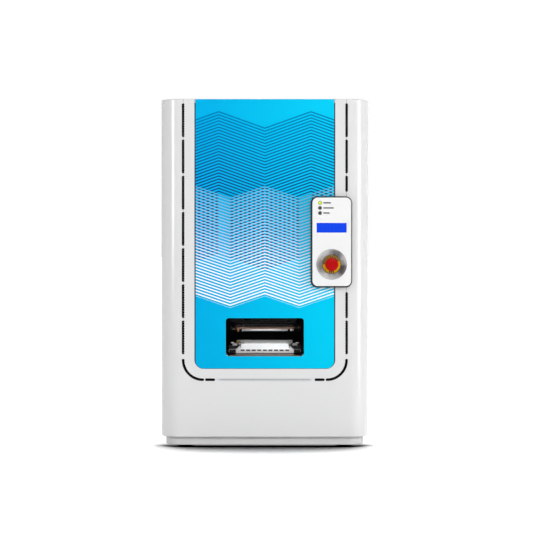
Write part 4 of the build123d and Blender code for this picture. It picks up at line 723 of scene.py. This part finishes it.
# plain printed bars beside the lamps
# flat dark bars
ink, ink_shader = surface("dark_grey_pad_printed_ink", "0F0F10", 0.6)
grain(ink, ink_shader, 0.0006, 0.00002, 0.3)
bar_start = 0.0085
bar_height = 0.0044
for n, bar_length in enumerate((0.019, 0.026, 0.0155)):
    bar = begin(
        "cube",
        (lamp_x + bar_start + bar_length / 2, pod_low.y - 0.00006, lamp_z - n * lamp_pitch),
        (bar_length, 0.0001, bar_height), size=1,
    )
    pick(bar, lambda centre, normal: abs(normal.x) > 0.9)
    bpy.ops.transform.resize(value=(1, 1, 0.7))
    complete(bar, f"lamp_bar_{n + 1}", "cabinet", ink)

# ---------------------------------------------------------------- emergency stop
# A spun stainless dish, brushed in rings, sinks a yellow collar into the pod. The red
# mushroom head is glossy ABS on a steel stem.
dish_low, dish_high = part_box("estop_dish")
estop_middle = (dish_low + dish_high) / 2
# fine rings that catch the light, grey all round
spun_steel, spun_shader = surface("spun_stainless_steel", "B0B0B0", 0.45, 0.35)
spun_place = add(spun_steel, "ShaderNodeTexCoord")
spun_shift = add(
    spun_steel, "ShaderNodeMapping",
    {"Location": (-estop_middle.x, 0, -estop_middle.z)}, {0: (spun_place, "Object")},
)
spun_axes = add(spun_steel, "ShaderNodeSeparateXYZ", links={0: (spun_shift, 0)})
spun_flat = add(
    spun_steel, "ShaderNodeCombineXYZ", links={0: (spun_axes, "X"), 1: (spun_axes, "Z")}
)
spun_radius = add(
    spun_steel, "ShaderNodeVectorMath", links={0: (spun_flat, 0)}, operation="LENGTH"
)
spun_rings = add(
    spun_steel, "ShaderNodeTexNoise", {"Scale": 2200.0, "Detail": 3.0},
    {"W": (spun_radius, "Value")}, noise_dimensions="1D",
)
add(
    spun_steel, "ShaderNodeBump", {"Strength": 0.35, "Distance": 0.00003},
    {"Height": (spun_rings, "Fac")}, into=[("Normal", spun_shader, "Normal")],
)
# painted reflection: fans of light and shade are painted round the dish, where its turning
# marks would throw them
painted_sheen_stops = (
    (0.0, "A0A0A0"), (0.08, "ACACAC"), (0.17, "CACACA"), (0.25, "B4B4B4"), (0.34, "A6A6A6"),
    (0.39, "606060"), (0.47, "606060"), (0.52, "B2B2B2"), (0.58, "C0C0C0"), (0.66, "6C6C6C"),
    (0.72, "7C7C7C"), (0.80, "BEBEBE"), (0.90, "C6C6C6"), (1.0, "A0A0A0"),
)
spun_turn = add(
    spun_steel, "ShaderNodeTexGradient", links={0: (spun_flat, 0)}, gradient_type="RADIAL"
)
spun_painted_sheen = add(spun_steel, "ShaderNodeValToRGB", links={0: (spun_turn, "Fac")})
set_stops(spun_painted_sheen, painted_sheen_stops)
ring_drift = add(
    spun_steel, "ShaderNodeMix", {6: srgb("E6E6E6"), 7: srgb("FFFFFF")},
    {0: (spun_rings, "Fac")}, data_type="RGBA",
)
add(
    spun_steel, "ShaderNodeMix", {0: 1.0}, {6: (spun_painted_sheen, "Color"), 7: (ring_drift, 2)},
    into=[(2, spun_shader, "Base Color")], data_type="RGBA", blend_type="MULTIPLY",
)
from_cad("estop_dish", spun_steel, edge=0)

# a deep yellow ring with little gloss
safety_yellow, yellow_shader = surface("safety_yellow_abs", "DFA600", 0.4)
yellow_shader.inputs["Specular IOR Level"].default_value = 0.15
grain(safety_yellow, yellow_shader, 0.001, 0.00004, 0.3)
from_cad("estop_collar", safety_yellow, edge=0)
collar_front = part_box("estop_collar")[0].y
# flat black marks
black_ink, black_ink_shader = surface("black_pad_printed_ink", "141415", 0.5)
grain(black_ink, black_ink_shader, 0.0006, 0.00002, 0.3)
mark_radius = 0.0196
mark_size = (0.0033, 0.0001, 0.0056)
upper_marks = [-84 + 13 * n for n in range(12)]
lower_marks = [166, 180, 194]
for n, degrees in enumerate(upper_marks + lower_marks):
    angle = math.radians(degrees)
    spot = Vector((math.sin(angle), 0, math.cos(angle))) * mark_radius
    mark = begin(
        "cube", (estop_middle.x + spot.x, collar_front - 0.00006, estop_middle.z + spot.z),
        mark_size, (0, angle, 0), size=1,
    )
    pick(mark, lambda centre, normal: normal.y < -0.9)
    bpy.ops.transform.resize(value=(0.9, 1, 0.9))
    complete(mark, f"collar_mark_{n + 1}", "cabinet", black_ink)

# a black ring seals the collar against the dish's floor
seal_radius = 0.0232
seal = begin(
    "torus", (estop_middle.x, collar_front + 0.0012, estop_middle.z),
    turn=(math.radians(90), 0, 0), major_radius=seal_radius, minor_radius=0.0012,
    major_segments=40, minor_segments=8,
)
pick(seal, lambda centre, normal: normal.y < -0.7)
bpy.ops.transform.resize(value=(1, 0.2, 1))
complete(seal, "collar_seal", "cabinet", rubber)

# a strong red without glare
safety_red, red_shader = surface("safety_red_abs", "B60202", 0.35)
red_shader.inputs["Specular IOR Level"].default_value = 0.12
grain(safety_red, red_shader, 0.0012, 0.00003, 0.25)
from_cad("estop_button", safety_red, edge=0)
# a bright rod with fine turning lines
turned_steel, turned_shader = surface("turned_steel", "B5B5B6", 0.28, 1.0)
grain(turned_steel, turned_shader, 0.0005, 0.00002, 0.3, stretch=(1, 0.05, 1))
dress(turned_steel, "estop_stem")

# ---------------------------------------------------------------- source stage
# Milled aluminium: the nest with its slotted front edge and stop bar is clear anodised,
# which shows near white with fine milling lines. Its two spring clamps are black, and
# cap screws hold it to the carriage.
# near white, with milling lines along the width
clear_anodised, clear_shader = surface("clear_anodised_aluminium", "D9DADB", 0.34, 0.55)
clear_noise = grain(clear_anodised, clear_shader, 0.0004, 0.00002, 0.3, stretch=(0.06, 1, 1))
tint(clear_anodised, clear_shader, clear_noise, "D0D1D3", "E2E3E4")
from_cad("source_nest", clear_anodised, edge=0.0004)
# a black metal that shows only along its lit edges
black_anodised, dark_shader = surface("black_anodised_aluminium", "0E0F10", 0.45, 0.4)
dark_noise = grain(black_anodised, dark_shader, 0.0006, 0.00002, 0.3, stretch=(0.06, 1, 1))
tint(black_anodised, dark_shader, dark_noise, "0B0C0D", "141517")
for side in ("left", "right"):
    from_cad(f"{side}_plate_clamp", black_anodised, edge=0.0005)
dress(black_anodised, "source_carriage", "source_rail_beams", "main_deck", "upper_deck",
      "y_carriage", "x_carriage", "destination_carriage")
# bright ground steel, lined along its travel
bearing_steel, bearing_shader = surface("ground_bearing_steel", "9B9C9E", 0.25, 1.0)
grain(bearing_steel, bearing_shader, 0.0005, 0.00002, 0.3, stretch=(1, 0.04, 1))
dress(bearing_steel, "lower_rails", "destination_rails", "source_bearing_blocks",
      "destination_bearing_blocks", "transducer")
# a row of dull and bright bars, one for each magnet
magnet_steel, magnet_shader = surface("nickel_plated_magnets", "8E8F8C", 0.3, 1.0)
magnet_place = add(magnet_steel, "ShaderNodeTexCoord")
magnet_bars = add(
    magnet_steel, "ShaderNodeTexWave", {"Scale": 1 / 0.06}, {0: (magnet_place, "Object")},
    bands_direction="Y", wave_profile="SAW",
)
tint(magnet_steel, magnet_shader, magnet_bars, "7C7D7B", "A0A19E", 0.05, 0.1)
dress(magnet_steel, "magnet_tracks")

nest_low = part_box("source_nest")[0]
plate_low, plate_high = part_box("source_plate")
screw_head = 0.0035
screw_rise = 0.003


def cap_screw(place, direction, radius=screw_head, rise=screw_rise):
    """A socket cap screw's head with a hexagon recess, standing on place along direction."""
    turn = Vector(direction).to_track_quat("Z", "Y").to_euler()
    middle = Vector(place) + Vector(direction) * rise / 2
    head = begin("cylinder", middle, turn=turn, vertices=24, radius=radius, depth=rise)
    pick(head, lambda centre, normal: normal.dot(Vector(direction)) > 0.9)
    bpy.ops.mesh.inset(thickness=radius * 0.45)
    bpy.ops.mesh.extrude_region_move(
        TRANSFORM_OT_translate={"value": Vector(direction) * -rise * 0.6}
    )
    return head


# dark heads with a bright rim
screw_steel, screw_shader = surface("black_oxide_screw_steel", "2A2A2C", 0.35, 0.9)
grain(screw_steel, screw_shader, 0.0008, 0.00002, 0.3)
# the first pair stands behind the clamps, clear of their slide
clamp_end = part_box("left_plate_clamp")[1].y
screw_x = 0.087
ear_height = 0.008
first_row = clamp_end + 0.008
second_row = nest_low.y + 0.21 - first_row
third_row = nest_low.y + 0.24 - first_row
screw = cap_screw((-screw_x, first_row, nest_low.z + ear_height), (0, 0, 1))
complete(screw, "nest_screw_1", "source_stage", screw_steel, edge=0.0002)
repeat(
    screw, "nest_screw",
    [(2 * screw_x, 0, 0), (0, second_row, 0), (2 * screw_x, second_row, 0),
     (0, third_row, 0), (2 * screw_x, third_row, 0)],
)

# black inserts close the nine finger slots in the nest's front edge
slot_pitch = 0.0145
nest_thickness = 0.0095
insert_size = (0.0104, 0.0008, 0.0037)
insert = begin(
    "cube", (-4 * slot_pitch, nest_low.y + 0.0009, nest_low.z + nest_thickness - 0.0021),
    insert_size, size=1,
)
pick(insert, lambda centre, normal: normal.y < -0.9)
bpy.ops.mesh.inset(thickness=0.0004)
complete(insert, "nest_slot_insert_1", "source_stage", rubber)
repeat(insert, "nest_slot_insert", [(n * slot_pitch, 0, 0) for n in range(1, 9)])

# each clamp is held by a shoulder screw, and pushed by a small coil spring, both near white as
# painted highlights
# painted highlights: small near-white glints
glint_white_steel, bright_shader = surface("spring_steel_painted_glint", "F2F2F2", 0.3, 0.3)
grain(glint_white_steel, bright_shader, 0.0005, 0.00002, 0.3)
coil_radius = 0.0028
coil_wire = 0.0007
coil_pitch = 0.0021
for side, side_name in ((-1, "left"), (1, "right")):
    arm_low, arm_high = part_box(f"{side_name}_plate_clamp")
    arm_middle = (arm_low + arm_high) / 2
    spring_start = arm_middle.x - side * 0.006
    coil = begin(
        "torus", (spring_start, arm_low.y - coil_radius, arm_high.z - coil_radius),
        turn=(0, math.radians(90), 0), major_radius=coil_radius, minor_radius=coil_wire,
        major_segments=16, minor_segments=6,
    )
    bpy.ops.object.mode_set(mode="OBJECT")
    row_of(coil, 6, (side * coil_pitch, 0, 0))
    complete(coil, f"{side_name}_clamp_spring", f"{side_name}_clamp", glint_white_steel)
    shoulder = cap_screw(
        (arm_middle.x + side * 0.006, arm_low.y + 0.006, arm_high.z), (0, 0, 1), 0.0046, 0.0026
    )
    complete(shoulder, f"{side_name}_clamp_screw", f"{side_name}_clamp", glint_white_steel,
             edge=0.0002)

# black rubber faces the nest's two ears, and a brass block marks the stop bar's datum end
ear_size = (0.0172, 0.0008, 0.0074)
ear_middle = 0.0845
ear_front = nest_low.y + 0.025
stop_front = nest_low.y + 0.108
for side, side_name in ((-1, "left"), (1, "right")):
    ear = begin(
        "cube", (side * ear_middle, ear_front - 0.0005, nest_low.z + ear_height / 2), ear_size,
        size=1,
    )
    pick(ear, lambda centre, normal: normal.y < -0.9)
    bpy.ops.mesh.inset(thickness=0.0006)
    complete(ear, f"{side_name}_nest_ear_pad", "source_stage", rubber)
# a dull gold speck at the end of the stop bar
brass, brass_shader = surface("machined_brass", "B89468", 0.35, 0.7)
grain(brass, brass_shader, 0.0005, 0.00002, 0.3, stretch=(0.06, 1, 1))
datum_size = (0.0118, 0.0024, 0.0064)
datum = begin("cube", (-0.0700, stop_front - datum_size[1] / 4, 0.2566), datum_size, size=1)
pick(datum, lambda centre, normal: normal.x > 0.9)
bpy.ops.transform.resize(value=(1, 1, 0.8))
complete(datum, "stop_bar_datum", "source_stage", brass, edge=0.0004)

# two small sensor lenses look along the nest's right end
# a dark red point
red_lens, red_lens_shader = surface("red_sensor_lens", "8C1010", 0.3)
grain(red_lens, red_lens_shader, 0.001, 0.00002, 0.2)
eye_depth = 0.0024
# the second lens is the near-white steel, a painted glint
for n, (along, lens) in enumerate(((0.0802, red_lens), (0.0862, glint_white_steel))):
    eye = begin(
        "cylinder", (along, arm_low.y - eye_depth / 2, nest_low.z + 0.0035),
        turn=(math.radians(90), 0, 0), vertices=16, radius=0.0015, depth=eye_depth,
    )
    pick(eye, lambda centre, normal: normal.y < -0.9)
    bpy.ops.mesh.inset(thickness=0.0005)
    complete(eye, f"nest_sensor_{n + 1}", "right_clamp", lens, edge=0.0002)

# The microplate is polystyrene, moulded white, with 384 square wells.
well_pitch = 0.0045
well_wall = 0.0005
well_depth = 0.0105
well_columns = 24
well_rows = 16
plate_middle = (plate_low + plate_high) / 2
# a bright white with soft shade in the wells
white_polystyrene, labware_shader = surface("white_polystyrene", "EFEFF0", 0.3)
labware_shader.inputs["Subsurface Weight"].default_value = 0.05
grain(white_polystyrene, labware_shader, 0.002, 0.00002, 0.2)
corner = (
    plate_middle.x - (well_columns - 1) / 2 * well_pitch,
    plate_middle.y - (well_rows - 1) / 2 * well_pitch,
    plate_high.z,
)
microplate = begin("plane", corner, size=well_pitch)
bpy.ops.mesh.inset(thickness=well_wall)
bpy.ops.mesh.extrude_region_move(TRANSFORM_OT_translate={"value": (0, 0, -well_depth)})
bpy.ops.object.mode_set(mode="OBJECT")
row_of(microplate, well_columns, (well_pitch, 0, 0))
row_of(microplate, well_rows, (0, well_pitch, 0))
bpy.ops.object.mode_set(mode="EDIT")
bpy.ops.mesh.select_all(action="SELECT")
bpy.ops.mesh.remove_doubles(threshold=0.00005)
bpy.ops.mesh.select_mode(type="EDGE")
bpy.ops.mesh.select_all(action="DESELECT")
bpy.ops.mesh.select_non_manifold()
field = (well_columns * well_pitch, well_rows * well_pitch)
rim = (plate_high.x - plate_low.x - 0.004, plate_high.y - plate_low.y - 0.004)
skirt = (plate_high.x - plate_low.x, plate_high.y - plate_low.y)


def step_out(start, end):
    """Extrudes the picked outline flat and outwards, from one length and depth to another."""
    bpy.ops.mesh.extrude_edges_move()
    bpy.ops.transform.resize(
        value=(end[0] / start[0], end[1] / start[1], 1), center_override=plate_middle
    )


def step_down(drop):
    """Extrudes the picked outline straight down."""
    bpy.ops.mesh.extrude_edges_move(TRANSFORM_OT_translate={"value": (0, 0, -drop)})


skirt_height = 0.0025
step_out(field, rim)
step_down(plate_high.z - plate_low.z - skirt_height)
step_out(rim, skirt)
step_down(skirt_height)
bpy.ops.mesh.edge_face_add()
bpy.ops.mesh.select_all(action="SELECT")
bpy.ops.mesh.normals_make_consistent(inside=False)
complete(microplate, "microplate_384", "source_stage", white_polystyrene, angle=30)
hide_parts("source_plate")

# ---------------------------------------------------------------- destination stage
# The gripper's frame is bronze anodised, its gripping bars clear anodised. The fork,
# belt and motor behind it are black.
# a black with a low sheen
black_paint, paint_shader = surface("black_painted_steel", "101011", 0.5)
grain(black_paint, paint_shader, 0.0015, 0.00005, 0.3)
from_cad("gripper_frame", bronze, edge=0.0004)
from_cad("gripper_jaw", clear_anodised, edge=0.0005)
from_cad("destination_fork", black_anodised, edge=0.0006)
dress(rubber, "invert_belt", "feet")
dress(black_paint, "invert_motor", "fluid_pump", "frame_posts", "frame_beams", "chamber_shell",
      "power_supply")
jaw_low, jaw_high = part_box("gripper_jaw")
ring_low, ring_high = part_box("gripper_frame")
ring_front = (ring_low.y + ring_high.y) / 2 - 0.048
bar = begin(
    "cube", (0, ring_front + 0.0022, (jaw_low.z + jaw_high.z) / 2 - 0.0001),
    (jaw_high.x - jaw_low.x + 0.0004, 0.0051, jaw_high.z - jaw_low.z + 0.0002), size=1,
)
complete(bar, "gripping_bar_cover", "gripper", clear_anodised, edge=0.0008)

# a milled end block on the frame's right end, and two pins under the gripping bar
block_size = (0.0085, 0.0046, 0.0062)
block = begin(
    "cube", (0.0725, ring_front - 0.0008, (jaw_low.z + jaw_high.z) / 2), block_size, size=1
)
pick(block, lambda centre, normal: normal.x > 0.9)
bpy.ops.transform.resize(value=(1, 1, 0.6))
complete(block, "gripper_end_block", "gripper", clear_anodised, edge=0.0005)
for n, along in enumerate((-0.0604, 0.0497)):
    pin = begin(
        "cylinder", (along, ring_front + 0.0022, jaw_low.z - 0.0008), vertices=16,
        radius=0.0011, depth=0.0016,
    )
    pick(pin, lambda centre, normal: normal.z < -0.9)
    bpy.ops.transform.resize(value=(0.6, 0.6, 1))
    complete(pin, f"gripper_pin_{n + 1}", "gripper", clear_anodised)

# a copper contact hangs below the frame's left end, beside a grey bumper on the fork
# an orange point
copper, copper_shader = surface("copper_contact", "C98B5E", 0.35, 0.6)
grain(copper, copper_shader, 0.0005, 0.00002, 0.3)
contact_size = (0.0046, 0.0030, 0.0084)
contact = begin("cube", (-0.0712, ring_front - 0.0010, 0.2857), contact_size, size=1)
pick(contact, lambda centre, normal: normal.z < -0.9)
bpy.ops.transform.resize(value=(0.7, 1, 1))
complete(contact, "gripper_contact", "gripper", copper, edge=0.0004)
fork_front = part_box("destination_fork")[0].y
bumper_size = (0.0088, 0.0024, 0.0042)
bumper = begin("cube", (-0.0845, fork_front - bumper_size[1] / 2, 0.2868), bumper_size, size=1)
pick(bumper, lambda centre, normal: normal.y < -0.9)
bpy.ops.transform.resize(value=(0.8, 1, 0.7))
complete(bumper, "fork_bumper", "destination_stage", clear_anodised, edge=0.0004)
# a black strip lines the face of the frame's far bar, another the top of its near bar
far_front = ring_high.y - 0.010
strip_plan = {
    "gripper_far_strip": ((0, far_front - 0.0004, 0.2925), (0.116, 0.0006, 0.0058)),
    "gripper_near_strip": ((0, ring_front - 0.0002, 0.2945), (0.146, 0.0006, 0.0022)),
}
for name, (strip_middle, strip_size) in strip_plan.items():
    strip = begin("cube", strip_middle, strip_size, size=1)
    pick(strip, lambda centre, normal: normal.y < -0.9)
    bpy.ops.mesh.inset(thickness=0.0004)
    complete(strip, name, "gripper", black_anodised)

# ---------------------------------------------------------------- cabinet services
# Tank, card cage and amplifier stand inside and show only with the panels off.
# a milky white that lets a little light in
natural_pe, pe_shader = surface("natural_polyethylene", "DDE2E4", 0.45)
pe_shader.inputs["Subsurface Weight"].default_value = 0.1
grain(natural_pe, pe_shader, 0.003, 0.00005, 0.3)
dress(natural_pe, "fluid_reservoir")
dress(zinc_plate, "motion_controller", "rf_amplifier", "rear_connectors")
from_cad("fan_guard", zinc_plate, edge=0.0009)

# ---------------------------------------------------------------- rear hardware
# Pan head screws, zinc plated, hold the rear panel to the posts and the fan's guard to
# the panel. Each is turned, with a hexagon socket.
rear_low, rear_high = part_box("rear_panel")
guard_low, guard_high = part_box("fan_guard")
guard_middle = (guard_low + guard_high) / 2
screw_inset = 0.012
first_screw = 0.03
screw_pitch = 0.2
guard_pitch = 0.0525
guard_wire = 0.0028
pan_head = 0.0042
pan_rise = 0.0022
rear_columns = (rear_low.x + screw_inset, rear_high.x - screw_inset)
rear_rows = [rear_low.z + first_screw + n * screw_pitch for n in range(5)]
screw_places = [(x, rear_high.y, z) for x in rear_columns for z in rear_rows]
screw_places += [
    (guard_middle.x + across * guard_pitch, rear_high.y + guard_wire,
     guard_middle.z + up * guard_pitch)
    for across in (-1, 1)
    for up in (-1, 1)
]
for n, spot in enumerate(screw_places):
    rear_screw = cap_screw(spot, (0, 1, 0), pan_head, pan_rise)
    complete(rear_screw, f"rear_screw_{n + 1}", "cabinet", zinc_plate, edge=0.0005)
